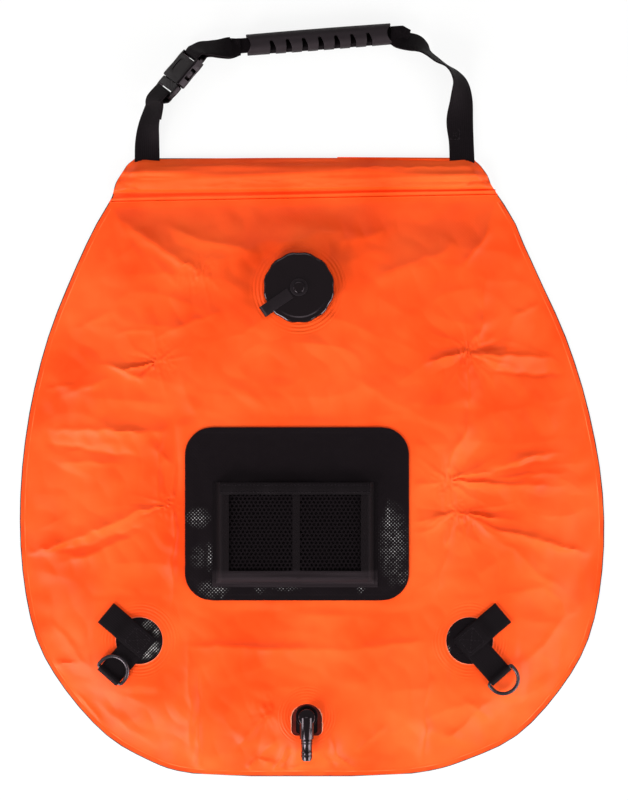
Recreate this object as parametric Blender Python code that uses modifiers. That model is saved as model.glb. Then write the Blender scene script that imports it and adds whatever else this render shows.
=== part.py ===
# Camp shower bag, lying on its back with its handle laid out.
# Metres. +Z points out of the front film, +Y towards the handle.
# The origin is the middle of the back sheet's underside.

import math

import bmesh
import bpy
from mathutils import Matrix, Vector

# Fits and cutters
GAP = 0.0003
OVERRUN = 0.004
ROUND_STEPS = 40

# Water body
BAG_LENGTH = 0.495
BAG_WIDTH = 0.467
FILM = 0.0008
FILM_TOP = 0.014
SEAM_WIDTH = 0.004
SLOPE_RUN = 0.021
HEM_WIDTH = 0.037
LIE_SHIFT = 0.006
OUTLINE_STEPS = 3

# Down the bag, half width, sideways lie
OUTLINE_SHARES = (
    (0.000, 0.575, -0.1),
    (0.075, 0.677, 0.0),
    (0.175, 0.782, 0.1),
    (0.290, 0.884, 0.3),
    (0.415, 0.957, 0.6),
    (0.545, 0.995, 0.9),
    (0.670, 0.990, 1.0),
    (0.780, 0.942, 1.0),
    (0.862, 0.842, 1.0),
    (0.935, 0.697, 0.9),
    (0.974, 0.543, 0.3),
    (0.993, 0.420, -0.2),
    (1.000, 0.250, -0.4),
    (1.000, 0.000, -0.4),
)
# Steps of the front film's slope: share of its run, share of its rise
SLOPE_SHARES = ((0.2, 0.12), (0.25, 0.33), (0.25, 0.32), (0.3, 0.23))

# Stiffener rod in the hem
ROD_RADIUS = 0.003
ROD_END_GAP = 0.0033
ROD_FROM_WELD = 0.021
HEM_WELD_BAND = 0.008

# Filler
FILLER_X = -0.0044
FILLER_DOWN = 0.1048
NECK_RADIUS = 0.0226
NECK_BORE = 0.0195
NECK_FLANGE = 0.036
FLANGE_THICK = 0.001
CAP_RADIUS = 0.028
CAP_INSIDE = 0.0246
CAP_HEIGHT = 0.0145
CAP_TOP_WALL = 0.0025
CAP_CHAMFER = 0.0012
CAP_FLUTES = 12
FLUTE_RADIUS = 0.0045
FLUTE_DEPTH = 0.0012
BOSS_STEM = 0.003
BOSS_HEAD = 0.0044
BOSS_HEAD_THICK = 0.0013
GASKET_THICK = 0.0015
GASKET_INSIDE = 0.0188
TETHER_THICK = 0.0014
TETHER_STRAP_THICK = 0.0012
TETHER_WIDTH = 0.009
TETHER_COLLAR = 0.0268
TETHER_EYE = 0.007
TETHER_REACH = 0.0352
TETHER_BEND = 0.0025
TETHER_ANGLE = -146.0

# Outlet
OUTLET_X = 0.0018
OUTLET_UP = 0.0479
WINDOW_WIDTH = 0.0248
WINDOW_LENGTH = 0.026
WINDOW_ABOVE_AXIS = 0.0098
OUTLET_FLANGE = 0.0155
OUTLET_BOSS = 0.0085
SOCKET_RADIUS = 0.0064
SOCKET_DEPTH = 0.007
STUB_RADIUS = 0.0061
STUB_LENGTH = 0.0065
SPOUT_RADIUS = 0.0056
SPOUT_BODY = 0.024
SPOUT_BACK = 0.0056
SPOUT_LIFT = 0.0006
BARB_NECK_RADIUS = 0.0033
BARB_NECK = 0.0108
BARB_TIP_RADIUS = 0.0038
BARB_TIP = 0.0058
SPOUT_BORE = 0.002
ORING_WIRE = 0.0009

# Pocket
PANEL_X = -0.006
# Way down from the filler to the outlet
PANEL_PLACE_SHARE = 0.5273
PANEL_WIDTH = 0.179
PANEL_HEIGHT = 0.1384
PANEL_CORNER = 0.022
PANEL_THICK = 0.0007
POCKET_WIDTH = 0.126
POCKET_HEIGHT = 0.081
POCKET_SHIFT_X = -0.0016
POCKET_SHIFT_DOWN = 0.0151
POCKET_DEPTH = 0.0078
POCKET_WALL = 0.0007
POCKET_FLANGE = 0.003
POCKET_SLOPE = 0.004
BAND_WIDTH = 0.0104
BOTTOM_BAND = 0.0104
LIP_WIDTH = 0.0096
LIP_THICK = 0.0012
LIP_RISE = 0.0022
DIVIDER_WIDTH = 0.006
DIVIDER_X = -0.0006
NET_THICK = 0.0006
NET_MARGIN = 0.0025
NET_STRAND = 0.0011
NET_ACROSS = 6
NET_DOWN = 7

# Webbing, rings and patches
WEBBING_WIDTH = 0.020
WEBBING = 0.0014
PATCH_X_SHARE = 0.5653
PATCH_UP = 0.1083
PATCH_RADIUS = 0.030
PATCH_HOLE = 0.0187
PATCH_THICK = 0.0007
STRIP_REACH = 0.035
STRIP_INSET = 0.009
STRIP_RAMP = 0.009
STRIP_CLEAR = 0.0125
STRIP_ANGLE = 40.0
LOOP_REACH = 0.0392
LOOP_INSET = 0.008
LOOP_CLOSE = 0.007
LOOP_ANGLE = -48.5
RING_WIRE = 0.0015
RING_SIDE_GAP = 0.0004
RING_LEG = 0.0045
RING_CORNER = 0.0016
RING_LIE_OUT = 5.9
RING_LIE_BACK = 10.0

# Handle
STRAP_INSET = 0.0079
ROOT_LENGTH = 0.0115
PIVOT_OUT = 0.001
HANDLE_REACH = 0.099
# Places beside the middle line and above the hem: shares of STRAP_X and HANDLE_REACH
BUCKLE_PLACE_SHARES = (-0.9, 0.508)
GRIP_PLACE_SHARES = (0.091, 0.955)
BUCKLE_BEARING = 49.8
BUCKLE_LEAN = 50.0
BUCKLE_LENGTH = 0.042
BUCKLE_WIDTH = 0.0255
BUCKLE_THICK = 0.0086
BUCKLE_ROUND = 0.0012
BUCKLE_WALL = 0.0015
BAR = 0.003
BAR_SLOT = 0.0032
MALE_THICK = 0.0044
MALE_BASE = 0.013
PRONG_REACH = 0.033
SIDE_WINDOW_START = 0.0205
SIDE_WINDOW_LENGTH = 0.0105
SIDE_WINDOW_WALL = 0.0092
TAIL_LENGTH = 0.026
# Way from the buckle's far bar to the grip
SEWN_SHARE = 0.731
SEWN_EASE = 0.009
# Of the distance between the straps
GRIP_LENGTH_SHARE = 0.4586
GRIP_BEARING = 4.5
GRIP_WIDTH = 0.0176
GRIP_HEIGHT = 0.016
GRIP_CHANNEL_HEIGHT = 0.0038
GRIP_CHANNEL_TOP = 0.0068
GRIP_LIP = 0.0024
GRIP_SLIT = 0.0012
GRIP_NOTCHES = 7
GRIP_NOTCH_PITCH = 0.0129
GRIP_NOTCH_WIDTH = 0.0032
GRIP_NOTCH_DEPTH = 0.0098
GRIP_NOTCH_LEAN = 0.0022
GRIP_END_RADIUS = 0.0085
GRIP_END_DEPTH = 0.0032

# Strap routes: x, y and z as shares of the way between a stretch's ends,
# lean in degrees, share of the webbing's width
LEFT_ROUTE_SHARES = (
    (0.07, 0.30, 0.09, 5.0, 1.0),
    (0.23, 0.60, 0.32, 18.0, 1.0),
    (0.93, 0.88, 0.63, 38.0, 1.0),
)
RIGHT_ROUTE_SHARES = (
    (0.010, 0.14, 0.00, 0.0, 1.0),
    (0.030, 0.30, 0.14, -6.0, 1.0),
    (0.003, 0.46, 0.65, -24.0, 1.0),
    (0.030, 0.60, 1.20, -45.0, 1.0),
    (0.150, 0.70, 1.55, -74.0, 1.0),
    (0.300, 0.78, 1.60, -84.0, 1.0),
    (0.450, 0.86, 1.50, -62.0, 1.0),
    (0.620, 0.93, 1.23, -24.0, 0.95),
    (0.820, 0.98, 1.08, -6.0, 0.75),
)
MIDDLE_ROUTE_SHARES = (
    (0.19, 0.27, 0.25, -10.0, 0.72),
    (0.40, 0.54, 0.60, -26.0, 0.95),
    (0.62, 0.70, 0.87, -42.0, 1.0),
    (0.82, 0.74, 1.00, -50.0, 1.0),
)
GRIP_WEBBING_SHARE = 0.6

# Worked out from the sizes above
TOP_EDGE = BAG_LENGTH / 2
BOTTOM_EDGE = -BAG_LENGTH / 2
WELD_LINE = TOP_EDGE - HEM_WIDTH
HEM_HALF = BAG_WIDTH / 2 * OUTLINE_SHARES[0][1]
SEAM_TOP = FILM + GAP + FILM
FILLER = Vector((FILLER_X, TOP_EDGE - FILLER_DOWN, 0))
OUTLET = Vector((OUTLET_X, BOTTOM_EDGE + OUTLET_UP, 0))
PANEL = Vector((PANEL_X, FILLER.lerp(OUTLET, PANEL_PLACE_SHARE).y, 0))
POCKET = PANEL + Vector((POCKET_SHIFT_X, -POCKET_SHIFT_DOWN, 0))
PANEL_TOP = FILM_TOP + GAP + PANEL_THICK
POCKET_TOP = PANEL_TOP + POCKET_DEPTH
PATCH_X = BAG_WIDTH / 2 * PATCH_X_SHARE
PATCH_Y = BOTTOM_EDGE + PATCH_UP
STRAP_X = HEM_HALF - STRAP_INSET
STRAP_Z = FILM + GAP + FILM + GAP + WEBBING / 2
GRIP_LENGTH = 2 * STRAP_X * GRIP_LENGTH_SHARE
GRIP_PLACE = Vector((
    STRAP_X * GRIP_PLACE_SHARES[0],
    TOP_EDGE + HANDLE_REACH * GRIP_PLACE_SHARES[1],
    GRIP_HEIGHT / 2,
))
BAR_TO_WEBBING = BAR / math.sqrt(2) + GAP + WEBBING / 2

ORANGE = ("orange_film", (0.86, 0.10, 0.02), 0.42, 0.0)
BLACK_SHEET = ("black_sheet", (0.02, 0.02, 0.022), 0.6, 0.0)
BLACK_SCRIM = ("black_scrim", (0.022, 0.02, 0.023), 0.45, 0.0)
BLACK_PLASTIC = ("black_plastic", (0.016, 0.014, 0.016), 0.35, 0.0)
BLACK_RUBBER = ("black_rubber", (0.03, 0.028, 0.03), 0.7, 0.0)
WEBBING_BLACK = ("black_webbing", (0.02, 0.017, 0.02), 0.8, 0.0)
RING_BLACK = ("ring_plastic", (0.05, 0.05, 0.055), 0.3, 0.0)
ROD_WHITE = ("rod_plastic", (0.6, 0.6, 0.58), 0.5, 0.0)


# Scene and objects

def clear_scene():
    for obj in list(bpy.data.objects):
        bpy.data.objects.remove(obj, do_unlink=True)


def new_collection(name):
    collection = bpy.data.collections.new(name)
    bpy.context.scene.collection.children.link(collection)
    return collection


def paint(obj, look):
    name, colour, roughness, metallic = look
    material = bpy.data.materials.new(obj.name + "_" + name)
    material.use_nodes = True
    shader = material.node_tree.nodes["Principled BSDF"]
    shader.inputs["Base Color"].default_value = (*colour, 1.0)
    shader.inputs["Roughness"].default_value = roughness
    shader.inputs["Metallic"].default_value = metallic
    material.diffuse_color = (*colour, 1.0)
    obj.data.materials.clear()
    obj.data.materials.append(material)


def add_object(name, data, look=None):
    """Put a mesh or curve in the bag's collection, or in the cutters' if it has no look."""
    obj = bpy.data.objects.new(name, data)
    (bag if look else cutters).objects.link(obj)
    if look:
        paint(obj, look)
    else:
        obj.hide_render = True
        obj.display_type = "WIRE"
    return obj


def mesh_of(name, bm, closed=True):
    if closed:
        bmesh.ops.recalc_face_normals(bm, faces=bm.faces)
    data = bpy.data.meshes.new(name)
    bm.to_mesh(data)
    bm.free()
    return data


def smooth(obj, degrees=35.0):
    obj.data.shade_smooth()
    obj.data.set_sharp_from_angle(angle=math.radians(degrees))


def boolean(obj, other, operation="DIFFERENCE"):
    modifier = obj.modifiers.new(operation.lower() + "_" + other.name, "BOOLEAN")
    modifier.operation = operation
    modifier.object = other
    modifier.solver = "EXACT"
    return obj


def solidify(obj, thickness, offset):
    modifier = obj.modifiers.new("thickness", "SOLIDIFY")
    modifier.thickness = thickness
    modifier.offset = offset
    modifier.use_even_offset = True
    return obj


# Shapes

def spline(rows, steps):
    """Smooth rows of numbers: a Catmull-Rom curve through every row."""
    rows = [Vector(row) for row in rows]
    padded = [2 * rows[0] - rows[1], *rows, 2 * rows[-1] - rows[-2]]
    smooth_rows = []
    for i in range(1, len(padded) - 2):
        a, b, c, d = padded[i - 1 : i + 3]
        for k in range(steps):
            t = k / steps
            near = 2 * b + (c - a) * t
            bend = (2 * a - 5 * b + 4 * c - d) * t * t
            smooth_rows.append((near + bend + (3 * b - a - 3 * c + d) * t**3) / 2)
    smooth_rows.append(rows[-1])
    return smooth_rows


def arc(centre, radius, start, end, steps):
    """Points round a centre, angles in degrees, both ends included."""
    angles = [math.radians(start + (end - start) * k / steps) for k in range(steps + 1)]
    return [(centre[0] + radius * math.cos(a), centre[1] + radius * math.sin(a)) for a in angles]


def box_outline(width, height, centre=(0, 0)):
    x, y = width / 2, height / 2
    corners = ((-x, -y), (x, -y), (x, y), (-x, y))
    return [(centre[0] + a, centre[1] + b) for a, b in corners]


def rounded_outline(width, height, radius, steps):
    x, y = width / 2 - radius, height / 2 - radius
    points = []
    for turn, (a, b) in enumerate(((x, y), (-x, y), (-x, -y), (x, -y))):
        points += arc((a, b), radius, 90 * turn, 90 * turn + 90, steps)
    return points


def plate(name, loops, thickness, look=None):
    """Flat outline with holes, as a closed solid, its mid plane at Z = 0."""
    curve = bpy.data.curves.new(name, "CURVE")
    curve.dimensions = "2D"
    curve.fill_mode = "BOTH"
    curve.extrude = thickness / 2
    for points in loops:
        line = curve.splines.new("POLY")
        line.points.add(len(points) - 1)
        for point, (x, y) in zip(line.points, points):
            point.co = (x, y, 0, 1)
        line.use_cyclic_u = True
    return curve_to_mesh(name, curve, look)


def curve_to_mesh(name, curve, look=None):
    guide = add_object(name + "_curve", curve)
    bpy.context.view_layer.update()
    evaluated = guide.evaluated_get(bpy.context.evaluated_depsgraph_get())
    data = bpy.data.meshes.new_from_object(evaluated)
    bpy.data.objects.remove(guide, do_unlink=True)
    bpy.data.curves.remove(curve)
    bm = bmesh.new()
    bm.from_mesh(data)
    bmesh.ops.remove_doubles(bm, verts=bm.verts, dist=GAP / 10)
    bmesh.ops.dissolve_limit(
        bm, angle_limit=math.radians(0.5), verts=bm.verts, edges=bm.edges, use_dissolve_boundaries=False
    )
    bpy.data.meshes.remove(data)
    return add_object(name, mesh_of(name, bm), look)


def turned(name, profile, closed, look=None, steps=ROUND_STEPS):
    """Profile at +X turned round Z. It runs down its outer side, top to bottom."""
    bm = bmesh.new()
    verts = [bm.verts.new((x, 0, z)) for x, z in profile]
    for a, b in zip(verts, verts[1:] + (verts[:1] if closed else [])):
        bm.edges.new((a, b))
    data = bpy.data.meshes.new(name)
    bm.to_mesh(data)
    bm.free()
    obj = add_object(name, data, look)
    screw = obj.modifiers.new("turn", "SCREW")
    screw.axis = "Z"
    screw.steps = steps
    screw.render_steps = steps
    screw.use_merge_vertices = True
    screw.merge_threshold = GAP / 10
    screw.use_smooth_shade = True
    return obj


def ring(name, inner, outer, low, high, look=None, steps=ROUND_STEPS):
    profile = ((outer, high), (outer, low), (inner, low), (inner, high))
    return turned(name, profile, True, look, steps)


def cylinder(name, radius, length, centre, axis="Z", look=None, steps=ROUND_STEPS):
    bm = bmesh.new()
    bmesh.ops.create_cone(
        bm, cap_ends=True, segments=steps, radius1=radius, radius2=radius, depth=length
    )
    obj = add_object(name, mesh_of(name, bm), look)
    turns = {"Z": (0, 0, 0), "Y": (math.pi / 2, 0, 0), "X": (0, math.pi / 2, 0)}
    obj.rotation_euler = turns[axis]
    obj.location = centre
    return obj


def box(name, low, high, look=None):
    bm = bmesh.new()
    bmesh.ops.create_cube(bm, size=1)
    low, high = Vector(low), Vector(high)
    bmesh.ops.scale(bm, vec=high - low, verts=bm.verts)
    bmesh.ops.translate(bm, vec=(low + high) / 2, verts=bm.verts)
    return add_object(name, mesh_of(name, bm), look)


def wire(name, points, radius, look):
    """Closed round wire through the points."""
    curve = bpy.data.curves.new(name, "CURVE")
    curve.dimensions = "3D"
    curve.bevel_depth = radius
    curve.bevel_resolution = 2
    line = curve.splines.new("POLY")
    line.points.add(len(points) - 1)
    for point, co in zip(line.points, points):
        point.co = (*co, 1)
    line.use_cyclic_u = True
    return curve_to_mesh(name, curve, look)


def under(child, parent):
    """Parent a piece and leave it where it is."""
    bpy.context.view_layer.update()
    child.parent = parent
    child.matrix_parent_inverse = parent.matrix_world.inverted()


def empty(name, matrix):
    obj = bpy.data.objects.new(name, None)
    bag.objects.link(obj)
    obj.matrix_world = matrix
    return obj


# Webbing

def ribbon(name, stations, look, thickness=WEBBING):
    """Strip through stations of (centre, side): side reaches from the middle to one edge."""
    bm = bmesh.new()
    rows = [(bm.verts.new(c - s), bm.verts.new(c + s)) for c, s in stations]
    for (a, b), (c, d) in zip(rows, rows[1:]):
        bm.faces.new((a, b, d, c))
    data = bpy.data.meshes.new(name)
    bm.to_mesh(data)
    bm.free()
    return solidify(add_object(name, data, look), thickness, 0)


def laid(rows, steps=3):
    """Stations of webbing lying along rows of x, y, z, lean, width share."""
    points = spline(rows, steps)
    stations = []
    for i, row in enumerate(points):
        before, after = points[max(i - 1, 0)], points[min(i + 1, len(points) - 1)]
        along = Vector((after[0] - before[0], after[1] - before[1], 0)).normalized()
        right = Vector((along.y, -along.x, 0))
        lean = math.radians(row[3])
        side = right * math.cos(lean) + Vector((0, 0, 1)) * math.sin(lean)
        stations.append((Vector(row[:3]), side * (row[4] * WEBBING_WIDTH / 2)))
    return stations


def route(start, end, shares):
    """Rows between two ends, their places given as shares of the way."""
    way = Vector(end) - Vector(start)
    rows = []
    for x, y, z, lean, width in shares:
        rows.append((start[0] + way.x * x, start[1] + way.y * y, start[2] + way.z * z, lean, width))
    return rows


def square_up(stations, across, count=4):
    """Turn the last stations step by step until the webbing lies square to the bar."""
    for k in range(count):
        centre, side = stations[-1 - k]
        way = across.lerp(side.normalized(), k / count).normalized()
        stations[-1 - k] = (centre, way * side.length)


def folded(stations, over, length, lay, ease):
    """Take webbing round a bar and back along itself.

    over is the way from the webbing's middle to the bar's axis, at the last station."""
    centre = stations[-1][0] + over
    side = stations[-1][1]
    travel = stations[-1][0] - stations[-2][0]
    sense = 1 if side.cross(-over).dot(travel) > 0 else -1
    path = list(stations)
    for k in range(1, 9):
        turn = Matrix.Rotation(sense * math.pi * k / 8, 3, side)
        path.append((centre + turn @ -over, side))
    gone = 0.0
    for i in range(len(stations) - 2, 0, -1):
        here, step = stations[i], stations[i + 1][0] - stations[i][0]
        gone += step.length
        if gone > length:
            break
        along = (stations[i + 1][0] - stations[i - 1][0]).normalized()
        up = along.cross(here[1]).normalized()
        up = up if up.dot(over) > 0 else -up
        drop = min(1.0, max(0.0, 1 - (gone - BAR) / ease)) ** 2
        path.append((here[0] + up * (lay + (2 * over.length - lay) * drop), here[1]))
    return path


# Water body

def outline(top):
    """The bag's edge below the height top, from the top right round to the top left."""
    rows = [
        (BAG_LENGTH * (0.5 - down), BAG_WIDTH / 2 * half, LIE_SHIFT * lie)
        for down, half, lie in OUTLINE_SHARES
    ]
    points = spline(rows, OUTLINE_STEPS)
    while points[1][0] > top - SEAM_WIDTH / 2:
        points.pop(0)
    share = (top - points[1][0]) / (points[0][0] - points[1][0])
    points[0] = points[1].lerp(points[0], share)
    right = [(lie + half, y) for y, half, lie in points]
    left = [(lie - half, y) for y, half, lie in points[:-1]]
    return right + left[::-1]


def make_back_panel():
    back = plate("back_panel", [outline(TOP_EDGE)], FILM, BLACK_SHEET)
    back.location.z = FILM / 2
    return back


def make_front_panel():
    """Front film: a welded seam, a soft slope and a flat top, with its four holes."""
    bm = bmesh.new()
    edge = [bm.verts.new((x, y, SEAM_TOP)) for x, y in reversed(outline(WELD_LINE))]
    top = bm.faces.new(edge)
    rise = FILM_TOP - SEAM_TOP
    steps = [(SEAM_WIDTH, 0)] + [(SLOPE_RUN * run, rise * up) for run, up in SLOPE_SHARES]
    for run, up in steps:
        bmesh.ops.inset_region(
            bm, faces=[top], thickness=run, depth=0, use_boundary=True, use_even_offset=True
        )
        bmesh.ops.translate(bm, vec=(0, 0, up), verts=top.verts)
    film = add_object("front_panel", mesh_of("front_panel", bm, False), ORANGE)
    solidify(film, FILM, -1)
    tall = 2 * (FILM + OVERRUN)
    holes = [cylinder("filler_hole", NECK_RADIUS + GAP, tall, FILLER + Vector((0, 0, FILM_TOP)))]
    for side, x in (("left", -PATCH_X), ("right", PATCH_X)):
        place = (x, PATCH_Y, FILM_TOP)
        holes.append(cylinder("patch_hole_" + side, PATCH_HOLE, tall, place))
    half = WINDOW_WIDTH / 2
    low = WINDOW_ABOVE_AXIS - WINDOW_LENGTH
    arch = arc((0, WINDOW_ABOVE_AXIS - half), half, 0, 180, 10) + [(-half, low), (half, low)]
    window = plate("outlet_window", [arch], tall)
    window.location = OUTLET + Vector((0, 0, FILM_TOP))
    for hole in holes + [window]:
        boolean(film, hole)
    smooth(film, 30.0)
    return film


def make_hem():
    """Folded sleeve above the weld line, trimmed to the bag's edge, with slots for the straps."""
    low = FILM + GAP + FILM / 2
    rod_z = low + FILM / 2 + GAP + ROD_RADIUS
    over_rod = ROD_RADIUS + GAP + FILM / 2
    rod_y = WELD_LINE + ROD_FROM_WELD
    fold = TOP_EDGE - FILM
    fold_z = STRAP_Z
    fold_half = fold_z - low
    rise = rod_y - WELD_LINE - HEM_WELD_BAND
    profile = [
        (WELD_LINE + GAP, low),
        (WELD_LINE + HEM_WELD_BAND, low),
        (WELD_LINE + HEM_WELD_BAND + rise * 0.3, low + over_rod * 0.55),
        (rod_y - over_rod * 0.7, rod_z + over_rod * 0.75),
        (rod_y, rod_z + over_rod),
        (rod_y + over_rod, rod_z + over_rod * 0.8),
        (rod_y + over_rod * 2.4, rod_z + over_rod * 0.1),
    ]
    profile += arc((fold - fold_half, fold_z), fold_half, 75, -90, 5)
    profile += [(rod_y, low), (WELD_LINE + HEM_WELD_BAND + rise * 0.45, low)]
    bm = bmesh.new()
    verts = [bm.verts.new((-BAG_WIDTH / 2, y, z)) for y, z in profile]
    edges = [bm.edges.new(pair) for pair in zip(verts, verts[1:])]
    swept = bmesh.ops.extrude_edge_only(bm, edges=edges)["geom"]
    moved = [item for item in swept if isinstance(item, bmesh.types.BMVert)]
    bmesh.ops.translate(bm, vec=(BAG_WIDTH, 0, 0), verts=moved)
    sleeve = add_object("hem_sleeve", mesh_of("hem_sleeve", bm, False), ORANGE)
    solidify(sleeve, FILM, 0)
    tall = 2 * (rod_z + over_rod + OVERRUN)
    above = [point for point in outline(TOP_EDGE) if point[1] > WELD_LINE - HEM_WELD_BAND]
    above = [(x, max(y, WELD_LINE)) for x, y in above]
    above[0] = (above[0][0], TOP_EDGE + OVERRUN)
    above[-1] = (above[-1][0], TOP_EDGE + OVERRUN)
    boolean(sleeve, plate("hem_trim", [above], tall), "INTERSECT")
    for side, x in (("left", -STRAP_X), ("right", STRAP_X)):
        half = WEBBING_WIDTH / 2 + GAP
        slot = WEBBING / 2 + GAP
        corner = Vector((x - half, fold - fold_half - FILM, STRAP_Z - slot))
        far = Vector((x + half, TOP_EDGE + OVERRUN, STRAP_Z + slot))
        boolean(sleeve, box("strap_slot_" + side, corner, far))
    smooth(sleeve, 40.0)
    rod_length = 2 * (HEM_HALF - ROD_END_GAP)
    cylinder("stiffener_rod", ROD_RADIUS, rod_length, (0, rod_y, rod_z), "X", ROD_WHITE, 14)
    return sleeve


# Filler

def make_filler():
    """Neck, gasket, cap and tether, stacked up from the film."""
    under_film = FILM_TOP - FILM - GAP
    cap_low = FILM_TOP + GAP + TETHER_THICK + GAP
    cap_top = cap_low + CAP_HEIGHT
    ceiling = cap_top - CAP_TOP_WALL
    gasket_top = ceiling - GAP
    neck_top = gasket_top - GASKET_THICK - GAP
    chamfer = (NECK_RADIUS - NECK_BORE) / 4
    neck = turned(
        "filler_neck",
        (
            (NECK_RADIUS - chamfer, neck_top),
            (NECK_RADIUS, neck_top - chamfer),
            (NECK_RADIUS, under_film),
            (NECK_FLANGE, under_film),
            (NECK_FLANGE, under_film - FLANGE_THICK),
            (NECK_BORE, under_film - FLANGE_THICK),
            (NECK_BORE, neck_top),
        ),
        True,
        BLACK_PLASTIC,
    )
    neck.location = FILLER
    head_low = cap_top + GAP + TETHER_THICK + GAP
    boss_top = head_low + BOSS_HEAD_THICK
    crown = BOSS_HEAD_THICK / 3
    cap = turned(
        "filler_cap",
        (
            (0, boss_top),
            (BOSS_HEAD - crown, boss_top),
            (BOSS_HEAD, boss_top - crown),
            (BOSS_HEAD, head_low),
            (BOSS_STEM, head_low),
            (BOSS_STEM, cap_top),
            (CAP_RADIUS - CAP_CHAMFER, cap_top),
            (CAP_RADIUS, cap_top - CAP_CHAMFER),
            (CAP_RADIUS, cap_low),
            (CAP_INSIDE, cap_low),
            (CAP_INSIDE, ceiling),
            (0, ceiling),
        ),
        False,
        BLACK_PLASTIC,
        4 * CAP_FLUTES,
    )
    cap.location = FILLER
    bm = bmesh.new()
    reach = CAP_RADIUS + FLUTE_RADIUS - FLUTE_DEPTH
    for k in range(CAP_FLUTES):
        turn = 2 * math.pi * k / CAP_FLUTES
        place = Matrix.Translation((reach * math.cos(turn), reach * math.sin(turn), ceiling))
        bmesh.ops.create_cone(
            bm,
            cap_ends=True,
            segments=16,
            radius1=FLUTE_RADIUS,
            radius2=FLUTE_RADIUS,
            depth=2 * (CAP_HEIGHT + OVERRUN),
            matrix=place,
        )
    flutes = add_object("cap_flutes", mesh_of("cap_flutes", bm))
    flutes.location = FILLER
    boolean(cap, flutes)
    gasket_low = gasket_top - GASKET_THICK
    gasket = ring("cap_gasket", GASKET_INSIDE, CAP_INSIDE - GAP, gasket_low, gasket_top, BLACK_RUBBER)
    gasket.location = FILLER
    make_tether(cap_top)


def make_tether(cap_top):
    """Collar round the neck, strap up past the rim and over the cap, eye round the boss."""
    collar_z = FILM_TOP + GAP + TETHER_THICK / 2
    eye_z = cap_top + GAP + TETHER_THICK / 2
    start = (NECK_RADIUS + TETHER_COLLAR) / 2
    finish = (BOSS_STEM + TETHER_EYE) / 2
    bend = TETHER_BEND
    turn_x = TETHER_REACH - TETHER_STRAP_THICK / 2 - bend
    path = [(start, collar_z)]
    path += arc((turn_x, collar_z + bend), bend, -90, 0, 4)
    path += arc((turn_x, eye_z - bend), bend, 0, 90, 4)
    path += [(CAP_RADIUS, eye_z), (finish, eye_z)]
    half = Vector((0, TETHER_WIDTH / 2, 0))
    stations = [(Vector((x, 0, z)), half) for x, z in path]
    tether = ribbon("cap_tether", stations, BLACK_RUBBER, TETHER_STRAP_THICK)
    tether.rotation_euler.z = math.radians(TETHER_ANGLE)
    tether.location = FILLER
    thick = TETHER_THICK / 2
    inner = NECK_RADIUS + GAP
    collar = ring("tether_collar", inner, TETHER_COLLAR, collar_z - thick, collar_z + thick)
    eye = ring("tether_eye", BOSS_STEM + GAP, TETHER_EYE, eye_z - thick, eye_z + thick, None, 24)
    for part in (collar, eye):
        part.location = FILLER
        boolean(tether, part, "UNION")
    hole = cylinder("tether_boss_hole", BOSS_STEM + GAP, 4 * OVERRUN, FILLER + Vector((0, 0, eye_z)))
    boolean(tether, hole)


# Outlet

def make_outlet():
    """Welded base, and an elbow spout that turns in its socket."""
    under_film = FILM_TOP - FILM - GAP
    flange_low = under_film - FLANGE_THICK
    socket_low = FILM_TOP - SOCKET_DEPTH
    base = turned(
        "outlet_flange",
        (
            (OUTLET_BOSS, FILM_TOP),
            (OUTLET_BOSS, under_film),
            (OUTLET_FLANGE, under_film),
            (OUTLET_FLANGE, flange_low),
            (OUTLET_BOSS, flange_low),
            (OUTLET_BOSS, socket_low),
            (SOCKET_RADIUS, socket_low),
            (SOCKET_RADIUS, FILM_TOP),
        ),
        True,
        BLACK_PLASTIC,
        32,
    )
    base.location = OUTLET
    tube_z = FILM_TOP + SPOUT_LIFT + SPOUT_RADIUS
    edge = SPOUT_RADIUS / 8
    body_end = SPOUT_BODY - SPOUT_BACK
    neck_end = body_end + BARB_NECK
    tip = neck_end + BARB_TIP
    profile = (
        (0, tip),
        (BARB_NECK_RADIUS - edge, tip),
        (BARB_TIP_RADIUS, neck_end + BARB_TIP / 2),
        (BARB_TIP_RADIUS, neck_end),
        (BARB_NECK_RADIUS, neck_end),
        (BARB_NECK_RADIUS, body_end),
        (SPOUT_RADIUS - edge, body_end),
        (SPOUT_RADIUS, body_end - edge),
        (SPOUT_RADIUS, edge - SPOUT_BACK),
        (SPOUT_RADIUS - edge, -SPOUT_BACK),
        (0, -SPOUT_BACK),
    )
    spout = turned("outlet_spout", profile, False, BLACK_PLASTIC, 24)
    spout.rotation_euler.x = math.pi / 2
    spout.location = OUTLET + Vector((0, 0, tube_z))
    stub_low = FILM_TOP - STUB_LENGTH
    groove = ORING_WIRE
    mid = stub_low + STUB_LENGTH / 3
    stub = turned(
        "spout_stub",
        (
            (0, tube_z),
            (STUB_RADIUS - groove, tube_z),
            (STUB_RADIUS - groove, FILM_TOP),
            (STUB_RADIUS, FILM_TOP),
            (STUB_RADIUS, mid + groove + GAP),
            (STUB_RADIUS - groove, mid + groove + GAP),
            (STUB_RADIUS - groove, mid - groove - GAP),
            (STUB_RADIUS, mid - groove - GAP),
            (STUB_RADIUS, stub_low),
            (0, stub_low),
        ),
        False,
        None,
        24,
    )
    stub.location = OUTLET
    boolean(spout, stub, "UNION")
    along = cylinder("spout_bore", SPOUT_BORE, tip + OVERRUN, OUTLET, "Y", None, 12)
    along.location += Vector((0, -(tip + OVERRUN) / 2, tube_z))
    down = cylinder("stub_bore", SPOUT_BORE, tube_z - stub_low + OVERRUN, OUTLET, "Z", None, 12)
    down.location.z = (tube_z + stub_low - OVERRUN) / 2
    boolean(spout, along)
    boolean(spout, down)
    oring = ring(
        "outlet_oring",
        STUB_RADIUS - groove + GAP / 3,
        SOCKET_RADIUS - GAP / 3,
        mid - groove,
        mid + groove,
        BLACK_RUBBER,
        24,
    )
    oring.location = OUTLET


# Pocket

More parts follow.
